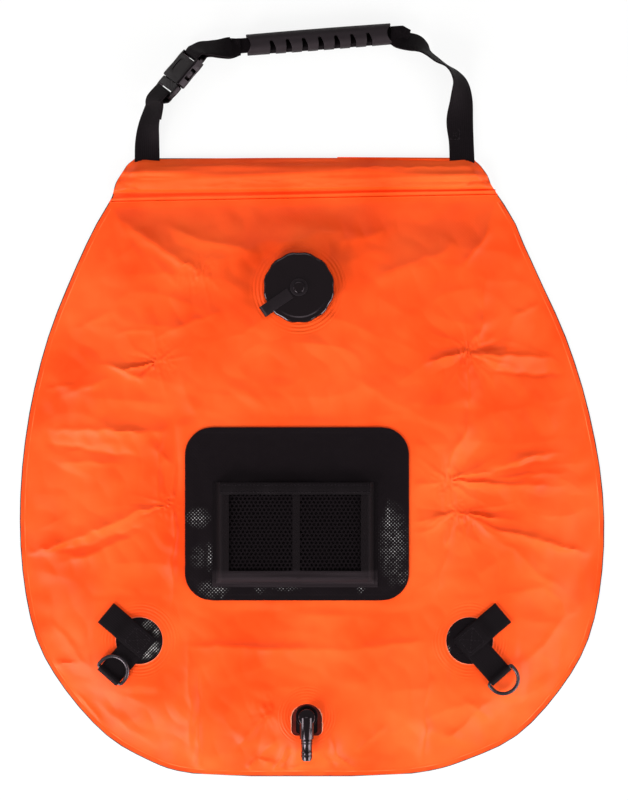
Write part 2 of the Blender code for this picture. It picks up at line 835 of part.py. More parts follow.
def make_pocket():
    """Panel on the film, and a shallow pocket with two net windows and an open top."""
    corner = rounded_outline(PANEL_WIDTH, PANEL_HEIGHT, PANEL_CORNER, 8)
    backing = plate("pocket_backing", [corner], PANEL_THICK, BLACK_SCRIM)
    backing.location = PANEL + Vector((0, 0, FILM_TOP + GAP + PANEL_THICK / 2))
    skirt = POCKET_FLANGE + POCKET_SLOPE
    wide = POCKET_WIDTH / 2 + POCKET_FLANGE
    low_y = -POCKET_HEIGHT / 2 - POCKET_FLANGE
    top_y = POCKET_HEIGHT / 2
    bm = bmesh.new()
    corners = ((-wide, low_y), (wide, low_y), (wide, top_y + skirt), (-wide, top_y + skirt))
    face = bm.faces.new([bm.verts.new((x, y, 0)) for x, y in corners])
    foot = PANEL_TOP + GAP + POCKET_WALL
    for run, up in ((POCKET_FLANGE, 0), (POCKET_SLOPE / 2, 0.62), (POCKET_SLOPE / 2, 0.38)):
        bmesh.ops.inset_region(
            bm, faces=[face], thickness=run, depth=0, use_boundary=True, use_even_offset=True
        )
        bmesh.ops.translate(bm, vec=(0, 0, up * (POCKET_TOP - foot)), verts=face.verts)
    every = list(bm.verts) + list(bm.edges) + list(bm.faces)
    bmesh.ops.bisect_plane(
        bm, geom=every, plane_co=(0, top_y, 0), plane_no=(0, 1, 0), clear_outer=True
    )
    frame = add_object("pocket_frame", mesh_of("pocket_frame", bm, False), BLACK_SCRIM)
    frame.location = POCKET + Vector((0, 0, foot))
    solidify(frame, POCKET_WALL, -1)
    low = -POCKET_HEIGHT / 2 + BOTTOM_BAND
    high = POCKET_HEIGHT / 2 - LIP_WIDTH
    middle = DIVIDER_X - POCKET_SHIFT_X
    half = POCKET_WIDTH / 2 - BAND_WIDTH
    spans = {
        "left": (-half, middle - DIVIDER_WIDTH / 2),
        "right": (middle + DIVIDER_WIDTH / 2, half),
    }
    for side, (x0, x1) in spans.items():
        low_corner = POCKET + Vector((x0, low, POCKET_TOP - OVERRUN))
        high_corner = POCKET + Vector((x1, high, POCKET_TOP + OVERRUN))
        boolean(frame, box("net_window_" + side, low_corner, high_corner))
        make_net("pocket_net_" + side, x0, x1, low, high)
    make_lip()


def make_net(name, x0, x1, low, high):
    """Flat net of diamond gaps behind one window."""
    wide = x1 - x0 + 2 * NET_MARGIN
    tall = high - low + 2 * NET_MARGIN
    bm = bmesh.new()
    bmesh.ops.create_grid(bm, x_segments=NET_ACROSS, y_segments=NET_DOWN, size=0.5)
    bmesh.ops.scale(bm, vec=(wide, tall, 1), verts=bm.verts)
    old = [edge for edge in bm.edges if not edge.is_boundary]
    bmesh.ops.poke(bm, faces=bm.faces)
    bmesh.ops.dissolve_edges(bm, edges=old, use_verts=False)
    gaps = list(bm.faces)
    bmesh.ops.inset_individual(bm, faces=gaps, thickness=NET_STRAND / 2, use_even_offset=True)
    bmesh.ops.delete(bm, geom=gaps, context="FACES")
    net = add_object(name, mesh_of(name, bm, False), BLACK_SCRIM)
    net.location = POCKET + Vector(((x0 + x1) / 2, (low + high) / 2, POCKET_TOP - POCKET_WALL - GAP))
    return solidify(net, NET_THICK, -1)


def make_lip():
    """Hem across the mouth, sewn down at its ends and standing a little open between."""
    wide = POCKET_WIDTH / 2
    y = POCKET.y + POCKET_HEIGHT / 2 - LIP_WIDTH / 2
    low = POCKET_TOP + GAP + LIP_THICK / 2
    half = Vector((0, LIP_WIDTH / 2, 0))
    stations = []
    for k in range(17):
        across = k / 8 - 1
        swell = math.sin(math.pi * 2 * across) ** 2
        stations.append((Vector((POCKET.x + wide * across, y, low + LIP_RISE * swell)), half))
    ribbon("pocket_lip", stations, WEBBING_BLACK, LIP_THICK)


# Lower tabs

def make_tab(side, sign, flipped):
    """Patch behind its hole, a square ended strip, and a loop that holds a D-ring."""
    hub = Vector((sign * PATCH_X, PATCH_Y, 0))
    patch = cylinder("patch_" + side, PATCH_RADIUS, PATCH_THICK, hub, "Z", BLACK_SCRIM, 36)
    patch.location.z = FILM_TOP - FILM - GAP - PATCH_THICK / 2
    first = FILM_TOP + GAP + WEBBING / 2
    step = WEBBING + GAP
    loop_turn, strip_turn = math.radians(LOOP_ANGLE), math.radians(STRIP_ANGLE)
    loop_way = Vector((sign * math.cos(loop_turn), math.sin(loop_turn), 0))
    strip_way = Vector((sign * math.cos(strip_turn), math.sin(strip_turn), 0))
    strip_path = (
        (-STRIP_INSET, first + 2 * step),
        (STRIP_CLEAR, first + 2 * step),
        (STRIP_CLEAR + STRIP_RAMP * 0.3, first + 1.75 * step),
        (STRIP_CLEAR + STRIP_RAMP * 0.7, first + 0.25 * step),
        (STRIP_CLEAR + STRIP_RAMP, first),
        (STRIP_REACH, first),
    )
    across = Vector((-strip_way.y, strip_way.x, 0)) * (WEBBING_WIDTH / 2)
    stations = [(hub + strip_way * s + Vector((0, 0, z)), across) for s, z in strip_path]
    ribbon("tab_strip_" + side, stations, WEBBING_BLACK)

    turn = RING_WIRE + GAP + WEBBING / 2
    bar_s = LOOP_REACH - turn - WEBBING / 2
    bar_z = first + turn
    loop_path = [(-LOOP_INSET, first + step), (bar_s - LOOP_CLOSE, first + step)]
    loop_path += [(bar_s - turn, first + 1.45 * turn)]
    loop_path += arc((bar_s, bar_z), turn, 100, -90, 9)
    loop_path += [(bar_s - LOOP_CLOSE, first), (-LOOP_INSET, first)]
    across = Vector((-loop_way.y, loop_way.x, 0)) * (WEBBING_WIDTH / 2)
    stations = [(hub + loop_way * s + Vector((0, 0, z)), across) for s, z in loop_path]
    ribbon("tab_loop_" + side, stations, WEBBING_BLACK)
    make_d_ring("d_ring_" + side, hub + loop_way * bar_s + Vector((0, 0, bar_z)), loop_way, flipped)


def make_d_ring(name, centre, way, flipped):
    """Ring with its bar through the webbing. Its origin is on the bar's axis."""
    half = WEBBING_WIDTH / 2 + RING_SIDE_GAP + RING_WIRE
    corner = RING_CORNER
    flat = arc((corner - half, corner), corner, 180, 270, 3)
    flat += arc((half - corner, corner), corner, 270, 360, 3)
    flat += arc((0, RING_LEG), half, 0, 180, 12)
    d_ring = wire(name, [(x, y, 0) for x, y in flat], RING_WIRE, RING_BLACK)
    across = Vector((way.y, -way.x, 0))
    up = across.cross(way)
    rest = Matrix((across, way, up)).transposed().to_4x4()
    swing = math.radians(180 - RING_LIE_BACK if flipped else -RING_LIE_OUT)
    d_ring.matrix_world = Matrix.Translation(centre) @ rest @ Matrix.Rotation(swing, 4, "X")
    smooth(d_ring, 60.0)


# Handle

def buckle_frame():
    """Frame at the buckle's lower end: along it, across it, out of its face."""
    bearing, lean = math.radians(BUCKLE_BEARING), math.radians(BUCKLE_LEAN)
    along = Vector((math.cos(bearing), math.sin(bearing), 0))
    right = Vector((along.y, -along.x, 0))
    across = right * math.cos(lean) + Vector((0, 0, 1)) * math.sin(lean)
    face = across.cross(along)
    turned_axes = Matrix((along, -across, face)).transposed().to_4x4()
    beside, above = BUCKLE_PLACE_SHARES
    rise = (BUCKLE_WIDTH * math.sin(lean) + BUCKLE_THICK * math.cos(lean)) / 2
    place = Vector((STRAP_X * beside, TOP_EDGE + HANDLE_REACH * above, rise))
    return Matrix.Translation(place) @ turned_axes


def grip_ends():
    """Way along the grip, and its left and right ends."""
    bearing = math.radians(GRIP_BEARING)
    along = Vector((math.cos(bearing), math.sin(bearing), 0))
    return along, GRIP_PLACE - along * (GRIP_LENGTH / 2), GRIP_PLACE + along * (GRIP_LENGTH / 2)


def make_male(frame):
    """Bar and slot for the adjustable strap, a base, two arms with hooks and a middle guide."""
    half = BUCKLE_WIDTH / 2
    hook = half * 0.94
    arm = half * 0.74
    inner = half * 0.45
    tip = half * 0.6
    start = MALE_BASE
    span = PRONG_REACH - start
    upper = [
        (0, half * 0.9),
        (start * 0.5, half),
        (start, half),
        (start, arm),
        (start + span * 0.35, arm * 0.98),
        (start + span * 0.48, hook),
        (start + span * 0.78, hook),
        (PRONG_REACH, tip),
        (PRONG_REACH, tip - BUCKLE_WALL),
        (start + span * 0.7, inner * 1.25),
        (start + span * 0.35, inner),
        (start + span * 0.06, inner),
        (start + span * 0.06, inner * 0.3),
        (start + span * 0.86, inner * 0.24),
    ]
    shape = upper + [(u, -v) for u, v in reversed(upper)]
    slot = box_outline(BAR_SLOT, WEBBING_WIDTH + 2 * GAP, (BAR + BAR_SLOT / 2, 0))
    male = plate("buckle_male", [shape, slot], MALE_THICK, BLACK_PLASTIC)
    male.matrix_world = frame
    thin_bar(male, "male", frame, -OVERRUN, BAR)
    return male


def thin_bar(half_buckle, name, frame, start, end):
    """Cut the buckle down to its bar's thickness between two places along it."""
    wide = BUCKLE_WIDTH / 2 + OVERRUN
    thin, deep = BAR / 2, BUCKLE_THICK
    for part, low, high in (("over", thin, deep), ("under", -deep, -thin)):
        relief = box(name + "_bar_" + part, (start, -wide, low), (end, wide, high))
        relief.matrix_world = frame
        boolean(half_buckle, relief)


def make_female(frame):
    """Hollow half: mouth for the arms, side windows for the hooks, bar and slot at its far end."""
    half = BUCKLE_WIDTH / 2
    start = MALE_BASE + GAP
    span = BUCKLE_LENGTH - start
    side = [
        (start, half),
        (start + span * 0.18, half),
        (start + span * 0.45, half * 0.96),
        (start + span * 0.72, half),
        (BUCKLE_LENGTH, half * 0.92),
    ]
    shape = side + [(u, -v) for u, v in reversed(side)]
    female = plate("buckle_female", [shape], BUCKLE_THICK, BLACK_PLASTIC)
    female.matrix_world = frame
    bevel = female.modifiers.new("edge", "BEVEL")
    bevel.width = BUCKLE_ROUND
    bevel.segments = 2
    bevel.limit_method = "ANGLE"
    bevel.angle_limit = math.radians(40)
    wall = BUCKLE_WALL
    mouth = MALE_THICK / 2 + GAP
    reach = PRONG_REACH + GAP
    inside = half - wall
    cavity = box(
        "buckle_cavity", (start - OVERRUN, -inside, -mouth), (reach, inside, mouth)
    )
    window_end = SIDE_WINDOW_START + SIDE_WINDOW_LENGTH
    cuts = [cavity]
    for name, sign in (("left", 1), ("right", -1)):
        edges = sorted((sign * SIDE_WINDOW_WALL, sign * (half + OVERRUN)))
        low = (SIDE_WINDOW_START, edges[0], -mouth)
        cuts.append(box("buckle_window_" + name, low, (window_end, edges[1], mouth)))
    slot_end = BUCKLE_LENGTH - BAR
    slot_half = WEBBING_WIDTH / 2 + GAP
    deep = BUCKLE_THICK
    slot = (slot_end - BAR_SLOT, -slot_half, -deep)
    cuts.append(box("female_slot", slot, (slot_end, slot_half, deep)))
    thin_bar(female, "female", frame, slot_end, BUCKLE_LENGTH + OVERRUN)
    for cutter in cuts:
        cutter.matrix_world = frame
        boolean(female, cutter)
    return female


def make_left_strap(frame):
    """Webbing from the hem's slot, round the male half's bar, and back as a free tail."""
    face = frame.to_3x3().col[2].normalized()
    bar = frame @ Vector((BAR / 2, 0, 0))
    along = frame.to_3x3().col[0]
    reach = bar + face * BAR_TO_WEBBING
    before = reach - along * (3 * BAR)
    root = (-STRAP_X, TOP_EDGE, STRAP_Z)
    rows = [(-STRAP_X, TOP_EDGE - ROOT_LENGTH, STRAP_Z, 0, 1), (*root, 0, 1)]
    rows += route(root, before, LEFT_ROUTE_SHARES)
    rows += [(*before, BUCKLE_LEAN, 1), (*reach, BUCKLE_LEAN, 1)]
    stations = laid(rows, 4)
    square_up(stations, -frame.to_3x3().col[1])
    path = folded(stations, -face * BAR_TO_WEBBING, TAIL_LENGTH, WEBBING + GAP, SEWN_EASE)
    return ribbon("strap_left", path, WEBBING_BLACK)


def make_right_strap(frame):
    """Webbing from the hem's other slot, twisted, drawn through the grip, folded back and sewn."""
    face = frame.to_3x3().col[2].normalized()
    along = frame.to_3x3().col[0]
    bar = frame @ Vector((BUCKLE_LENGTH - BAR / 2, 0, 0))
    reach = bar - face * BAR_TO_WEBBING
    before = reach + along * (2.2 * BAR)
    share = GRIP_WEBBING_SHARE
    root = (STRAP_X, TOP_EDGE, STRAP_Z)
    grip_along, grip_left, grip_right = grip_ends()
    rows = [(STRAP_X, TOP_EDGE - ROOT_LENGTH, STRAP_Z, 0, 1), (*root, 0, 1)]
    rows += route(root, grip_right, RIGHT_ROUTE_SHARES)
    rows += [(*grip_right, 0, share), (*grip_left, 0, share)]
    rows += route(grip_left, before, MIDDLE_ROUTE_SHARES)
    rows += [(*before, -BUCKLE_LEAN, 1), (*reach, -BUCKLE_LEAN, 1)]
    stations = laid(rows, 4)
    square_up(stations, frame.to_3x3().col[1])
    sewn = (grip_left - bar).length * SEWN_SHARE
    path = folded(stations, face * BAR_TO_WEBBING, sewn, WEBBING + GAP, SEWN_EASE)
    return ribbon("strap_right", path, WEBBING_BLACK)


def make_grip():
    """Wrap grip: an oval with a channel, a slit along its finger side and seven rib notches."""
    along = grip_ends()[0]
    out = Vector((0, 0, 1)).cross(along).normalized()
    frame = Matrix((out, -Vector((0, 0, 1)), along)).transposed().to_4x4()
    frame = Matrix.Translation(GRIP_PLACE) @ frame
    a, b = GRIP_WIDTH / 2, GRIP_HEIGHT / 2
    slit = math.degrees(math.asin(GRIP_SLIT / 2 / b))
    steps = 26
    section = []
    for k in range(steps + 1):
        turn = math.radians(180 - slit - (360 - 2 * slit) * k / steps)
        section.append((a * math.cos(turn), b * math.sin(turn)))
    deep, half = GRIP_CHANNEL_TOP, GRIP_CHANNEL_HEIGHT / 2
    lip = GRIP_LIP - a
    section += [(lip, -GRIP_SLIT / 2), (lip, -half), (deep, -half)]
    section += [(deep, half), (lip, half), (lip, GRIP_SLIT / 2)]
    grip = plate("handle_grip", [section], GRIP_LENGTH, BLACK_RUBBER)
    grip.matrix_world = frame
    for k in range(GRIP_NOTCHES):
        shift = GRIP_NOTCH_PITCH * (k - (GRIP_NOTCHES - 1) / 2)
        w = GRIP_NOTCH_WIDTH / 2
        bow = GRIP_NOTCH_LEAN
        deep = GRIP_NOTCH_DEPTH
        crescent = [(-w, -OVERRUN), (w, -OVERRUN), (w + bow * 0.5, deep * 0.45)]
        crescent += [(w * 0.3 + bow * 0.2, deep), (-w * 0.3, deep), (-w + bow * 0.6, deep * 0.45)]
        flat = [(shift + u, v) for u, v in crescent]
        notch = plate("grip_notch_%d" % (k + 1), [flat], GRIP_HEIGHT + OVERRUN)
        upright = Matrix((along, out, Vector((0, 0, 1)))).transposed().to_4x4()
        notch.matrix_world = Matrix.Translation(GRIP_PLACE - out * a) @ upright
        boolean(grip, notch)
    for name, sign in (("left", -1), ("right", 1)):
        end = GRIP_PLACE + along * sign * (GRIP_LENGTH / 2 + GRIP_END_RADIUS - GRIP_END_DEPTH)
        tall = GRIP_HEIGHT + OVERRUN
        boolean(grip, cylinder("grip_end_" + name, GRIP_END_RADIUS, tall, end, "Z", None, 24))
    smooth(grip, 40.0)
    return grip


def make_handle():
    pivot = empty("handle_pivot", Matrix.Translation((0, TOP_EDGE + PIVOT_OUT, STRAP_Z)))
    frame = buckle_frame()
    buckle = empty("buckle_axis", frame)
    under(buckle, pivot)
    pieces = (make_left_strap(frame), make_right_strap(frame), make_grip(), make_female(frame))
    for piece in pieces:
        under(piece, pivot)
    under(make_male(frame), buckle)


clear_scene()
bag = new_collection("camp_shower_bag")
cutters = new_collection("cutters")
make_back_panel()
make_front_panel()
make_hem()
make_filler()
make_outlet()
make_pocket()
make_tab("left", -1, True)
make_tab("right", 1, False)
make_handle()
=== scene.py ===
import math

import bpy
import numpy as np
from mathutils import Matrix, Vector


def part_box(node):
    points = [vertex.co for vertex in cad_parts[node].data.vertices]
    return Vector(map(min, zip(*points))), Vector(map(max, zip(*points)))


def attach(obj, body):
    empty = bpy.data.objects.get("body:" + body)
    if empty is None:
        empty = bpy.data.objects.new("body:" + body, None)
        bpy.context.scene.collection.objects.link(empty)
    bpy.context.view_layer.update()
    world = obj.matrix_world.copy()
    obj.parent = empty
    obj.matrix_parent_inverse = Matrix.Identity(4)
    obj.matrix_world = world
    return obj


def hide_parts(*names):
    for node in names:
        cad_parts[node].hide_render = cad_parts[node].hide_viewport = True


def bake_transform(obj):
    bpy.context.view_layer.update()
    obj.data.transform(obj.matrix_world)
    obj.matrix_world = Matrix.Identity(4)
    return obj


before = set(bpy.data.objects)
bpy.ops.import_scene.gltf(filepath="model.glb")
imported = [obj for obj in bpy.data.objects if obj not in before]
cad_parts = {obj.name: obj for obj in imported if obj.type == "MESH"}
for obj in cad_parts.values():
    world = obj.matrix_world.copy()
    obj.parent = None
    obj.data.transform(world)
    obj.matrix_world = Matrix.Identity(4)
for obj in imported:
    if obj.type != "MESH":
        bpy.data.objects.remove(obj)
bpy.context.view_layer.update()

print("frame loaded", len(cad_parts), "nodes")

# The camera looks straight down; these are the picture's middle and height on the ground.
camera = {"centreX": 0.0076, "centreY": 0.0532, "viewHeight": 0.640, "distance": 2.5, "focusZ": 0.012,
          "sensor": 24.0, "clipEnd": 50.0}
# Softboxes: place, width, height and power
lights = {
    "left": ((-1.10, -1.26, 1.08), 0.9, 0.9, 34.0),
    "right": ((1.28, -1.00, 0.95), 0.9, 0.9, 17.0),
    "glintLeft": ((-0.87, -1.24, 0.30), 0.7, 0.3, 10.0),
    "glintRight": ((1.24, -0.90, 0.30), 0.8, 0.3, 10.0),
    "stripLeft": ((-1.60, -0.20, 0.66), 0.5, 0.75, 10.0),
    "stripRight": ((1.60, -0.20, 0.66), 0.5, 0.75, 9.0),
    "top": ((-0.2, 1.5, 1.7), 1.4, 1.4, 11.0),
}
studio = {"worldLevel": 0.24, "backdrop": 1.0, "floorSize": 6.0, "floorDrop": 0.0005, "floorWhite": "#F4F4F2",
          "floorRoughness": 0.9, "floorGlow": 0.86}


# Small tools

def selectAll():
    bpy.ops.mesh.select_all(action="SELECT")


def faceOutward():
    bpy.ops.mesh.normals_make_consistent(inside=False)


def deselectAll():
    if bpy.context.object and bpy.context.object.mode != "OBJECT":
        bpy.ops.object.mode_set(mode="OBJECT")
    bpy.ops.object.select_all(action="DESELECT")


def makeActive(piece):
    deselectAll()
    piece.select_set(True)
    bpy.context.view_layer.objects.active = piece


def editMesh(piece, *steps):
    # Every step is a function, called in edit mode
    makeActive(piece)
    bpy.ops.object.mode_set(mode="EDIT")
    for step in steps:
        step()
    bpy.ops.object.mode_set(mode="OBJECT")


def mergeDoubles(piece, distance):
    editMesh(piece, selectAll, lambda: bpy.ops.mesh.remove_doubles(threshold=distance), faceOutward)


def closeEnds(piece):
    # Fills the open ends of a tube
    editMesh(piece, selectAll, lambda: bpy.ops.mesh.fill_holes(sides=0), selectAll, faceOutward)


def applyModifier(piece, kind, **settings):
    makeActive(piece)
    modifier = piece.modifiers.new("step", kind)
    for key, value in settings.items():
        setattr(modifier, key, value)
    bpy.ops.object.modifier_apply(modifier=modifier.name)


def dress(piece, material, body, slotName, *nodes, crease=40):
    # Smooth shading up to the crease angle, the material, and the CAD nodes that the piece stands for
    makeActive(piece)
    bpy.ops.object.shade_smooth_by_angle(angle=math.radians(crease))
    piece.data.materials.clear()
    piece.data.materials.append(material)
    if nodes:
        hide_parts(*nodes)
    if body:
        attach(piece, body)


def smoothStep(low, high, value):
    share = np.clip((value - low) / (high - low), 0.0, 1.0)
    return share * share * (3.0 - 2.0 * share)


def bump(value, centre, width):
    return np.exp(-((value - centre) / width) ** 2)


def readPlaces(items, name="co"):
    # Rows of x, y and z of a mesh's vertices, or of its faces' centres
    flat = np.empty(len(items) * 3)
    items.foreach_get(name, flat)
    return flat.reshape(-1, 3)


def movePoints(piece, places):
    piece.data.vertices.foreach_set("co", np.ascontiguousarray(places, dtype=float).ravel())
    piece.data.update()


def gridPiece(name, columns, rows):
    # A grid primitive, and the column and row of each of its points
    deselectAll()
    bpy.ops.mesh.primitive_grid_add(x_subdivisions=columns, y_subdivisions=rows, size=1)
    piece = bpy.context.object
    piece.name = piece.data.name = name
    shares = readPlaces(piece.data.vertices) + 0.5
    return piece, np.round(shares[:, 0] * columns).astype(int), np.round(shares[:, 1] * rows).astype(int)


def outlinePiece(name, points, fill):
    # A circle primitive whose points are moved to the places given
    deselectAll()
    bpy.ops.mesh.primitive_circle_add(vertices=len(points), radius=1, fill_type=fill)
    piece = bpy.context.object
    piece.name = piece.data.name = name
    for vertex, place in zip(piece.data.vertices, points):
        vertex.co = place
    return piece


def deleteFaces(piece, gone):
    # Deletes the faces for which the array says True
    editMesh(piece, lambda: bpy.ops.mesh.select_mode(type="FACE"),
             lambda: bpy.ops.mesh.select_all(action="DESELECT"))
    piece.data.polygons.foreach_set("select", gone)
    editMesh(piece, lambda: bpy.ops.mesh.delete(type="FACE"))


def splineRows(rows, steps):
    # Catmull-Rom rows through every row given
    rows = [np.array(row, dtype=float) for row in rows]
    padded = [2 * rows[0] - rows[1], *rows, 2 * rows[-1] - rows[-2]]
    fine = []
    for i in range(1, len(padded) - 2):
        a, b, c, d = padded[i - 1:i + 3]
        for k in range(steps):
            t = k / steps
            fine.append((2 * b + (c - a) * t + (2 * a - 5 * b + 4 * c - d) * t * t
                         + (3 * b - a - 3 * c + d) * t ** 3) / 2)
    fine.append(rows[-1])
    return np.array(fine)


def joinPieces(name, pieces):
    deselectAll()
    for piece in pieces:
        piece.select_set(True)
    bpy.context.view_layer.objects.active = pieces[0]
    bpy.ops.object.join()
    pieces[0].name = pieces[0].data.name = name
    return pieces[0]


def cutAway(piece, cutter):
    applyModifier(piece, "BOOLEAN", operation="DIFFERENCE", object=cutter, solver="EXACT")
    bpy.data.objects.remove(cutter, do_unlink=True)


def prism(name, points, low, high, bevel=0.0, matrix=None, steps=2):
    # Flat outline extruded from low to high
    piece = outlinePiece(name, [(x, y, low) for x, y in points], "NGON")
    rise = {"value": (0, 0, high - low)}
    editMesh(piece, selectAll, lambda: bpy.ops.mesh.extrude_region_move(TRANSFORM_OT_translate=rise),
             selectAll, faceOutward)
    if bevel:
        applyModifier(piece, "BEVEL", width=bevel, segments=steps, limit_method="ANGLE",
                      angle_limit=math.radians(35), use_clamp_overlap=True)
    if matrix is not None:
        piece.data.transform(matrix)
    return piece


def spun(name, profile, steps=64):
    # Closed profile of (radius, height) spun round the upright axis
    piece = outlinePiece(name, [(x, 0, z) for x, z in profile], "NOTHING")
    editMesh(piece, selectAll,
             lambda: bpy.ops.mesh.spin(steps=steps, angle=2 * math.pi, center=(0, 0, 0), axis=(0, 0, 1)),
             selectAll, lambda: bpy.ops.mesh.remove_doubles(threshold=0.00002),
             lambda: bpy.ops.mesh.delete_loose(use_verts=True, use_edges=True, use_faces=False), selectAll,
             faceOutward)
    return piece


def rectangle(left, right, low, high):
    return (left, low), (right, low), (right, high), (left, high)


def rounded(profile, radius, steps=3, skip=()):
    # Rounds the corners of a closed outline of points
    points = [Vector(p) for p in profile]
    out = []
    for i, corner in enumerate(points):
        before = points[i - 1] - corner
        after = points[(i + 1) % len(points)] - corner
        reach = min(radius, before.length * 0.45, after.length * 0.45)
        if i in skip or reach < 0.00002:
            out.append(tuple(corner))
            continue
        a, b = corner + before.normalized() * reach, corner + after.normalized() * reach
        for k in range(steps + 1):
            t = k / steps
            out.append(tuple(a * (1 - t) ** 2 + corner * 2 * t * (1 - t) + b * t * t))
    return out


def arc(centre, radius, start, end, steps):
    angles = [math.radians(start + (end - start) * k / steps) for k in range(steps + 1)]
    return [(centre[0] + radius * math.cos(a), centre[1] + radius * math.sin(a)) for a in angles]


def swept(name, centres, sides, ups, section, closed=False):
    # Tube whose closed section of (across, up) follows the centres; UV is in metres
    centres, sides, ups, section = (np.array(a, dtype=float) for a in (centres, sides, ups, section))
    run = np.concatenate([[0], np.cumsum(np.linalg.norm(np.diff(centres, axis=0), axis=1))])
    if closed:
        run = np.append(run, run[-1] + np.linalg.norm(centres[0] - centres[-1]))
    piece, k, j = gridPiece(name, len(section), len(run) - 1)
    mesh = piece.data
    loops = np.empty(len(mesh.loops), dtype=int)
    mesh.loops.foreach_get("vertex_index", loops)
    mesh.uv_layers[0].name = "weaveMap"
    k = k % len(section)
    uv = np.column_stack([section[k, 0], run[j]])[loops]
    mesh.uv_layers[0].data.foreach_set("uv", uv.ravel())
    j = j % len(centres)
    movePoints(piece, centres[j] + sides[j] * section[k, :1] + ups[j] * section[k, 1:])
    mergeDoubles(piece, 0.000001)
    if not closed:
        closeEnds(piece)
    return piece


def ribbon(name, centres, sides, section):
    # A strip whose section is square to its way and to its sides
    last = len(centres) - 1
    ups = []
    for k, side in enumerate(sides):
        along = (centres[min(k + 1, last)] - centres[max(k - 1, 0)]).normalized()
        ups.append(side.normalized().cross(along).normalized())
    return swept(name, centres, sides, ups, section)


def breaks(marks, step):
    # Even places between marks, every mark kept
    places = [marks[0]]
    for a, b in zip(marks, marks[1:]):
        count = max(1, int(round((b - a) / step)))
        places += [a + (b - a) * (k + 1) / count for k in range(count)]
    return np.array(places)


def framed(first, second, third, origin=(0, 0, 0)):
    # Matrix with the three directions as its columns
    return Matrix.Translation(origin) @ Matrix((first, second, third)).transposed().to_4x4()


# Shader tools

# A wave texture's bands repeat after this length at a scale of 1
wavePeriod = 0.314
# Black plastics and yarns in the picture lean a little to red
blackTint = (1.0, 0.80, 0.90, 1.0)


def linear(hexColour):
    # sRGB hex to the linear values that shaders take
    parts = [int(hexColour[i:i + 2], 16) / 255 for i in (1, 3, 5)]
    return tuple(c / 12.92 if c <= 0.04045 else ((c + 0.055) / 1.055) ** 2.4 for c in parts) + (1.0,)


def linkTo(tree, source, target):
    # The source is a node, for its first output, or a node and an output
    node, output = source if isinstance(source, tuple) else (source, 0)
    tree.links.new(node.outputs[output], target)


def isLink(value):
    first = value[0] if isinstance(value, tuple) else value
    return isinstance(first, bpy.types.Node)


def addNode(tree, kind, settings):
    # Settings are the node's own, values of its inputs, or links to them
    node = tree.nodes.new("ShaderNode" + kind)
    for key, value in settings.items():
        if isLink(value):
            linkTo(tree, value, node.inputs[key])
        elif isinstance(key, str) and hasattr(node, key):
            setattr(node, key, value)
        else:
            node.inputs[key].default_value = value
    return node


def newMaterial(name, settings):
    # A Principled material, and the link that gives places on the object
    material = bpy.data.materials.new(name)
    material.use_nodes = True
    tree = material.node_tree
    for key, value in settings.items():
        tree.nodes["Principled BSDF"].inputs[key].default_value = value
    return material, tree, (addNode(tree, "TexCoord", {}), "Object")


def wire(tree, links):
    for key, source in links.items():
        linkTo(tree, source, tree.nodes["Principled BSDF"].inputs[key])


def noiseNode(tree, where, scale, detail, **settings):
    return addNode(tree, "TexNoise", {"Scale": scale, "Detail": detail, "Vector": where, **settings})


def mathNode(tree, operation, *terms):
    return addNode(tree, "Math", {"operation": operation, **dict(enumerate(terms))})


def mapNode(tree, source, low, high, toLow=0.0, toHigh=1.0, kind="LINEAR"):
    return addNode(tree, "MapRange", {"interpolation_type": kind, "From Min": low, "From Max": high,
                                      "To Min": toLow, "To Max": toHigh, "Value": source})


def bumpNode(tree, height, strength, distance, *normal):
    settings = {"Strength": strength, "Distance": distance, "Height": height}
    if normal:
        settings["Normal"] = normal[0]
    return addNode(tree, "Bump", settings)


def mixNode(tree, share, low, high):
    # Colours are hex or links
    low, high = (linear(value) if isinstance(value, str) else value for value in (low, high))
    return addNode(tree, "Mix", {"data_type": "RGBA", 0: share, 6: low, 7: high}), 2


def rampNode(tree, source, first, last, middle=None):
    # Stops of place and colour
    ramp = addNode(tree, "ValToRGB", {0: source})
    stops = ramp.color_ramp.elements
    for stop, (at, colour) in zip(stops, (first, last)):
        stop.position, stop.color = at, colour
    if middle:
        stops.new(middle[0]).color = middle[1]
    return ramp


def tintNode(tree, source, deep, pale):
    return rampNode(tree, source, (0, linear(deep)), (1, linear(pale)))


# Camera, floor and light

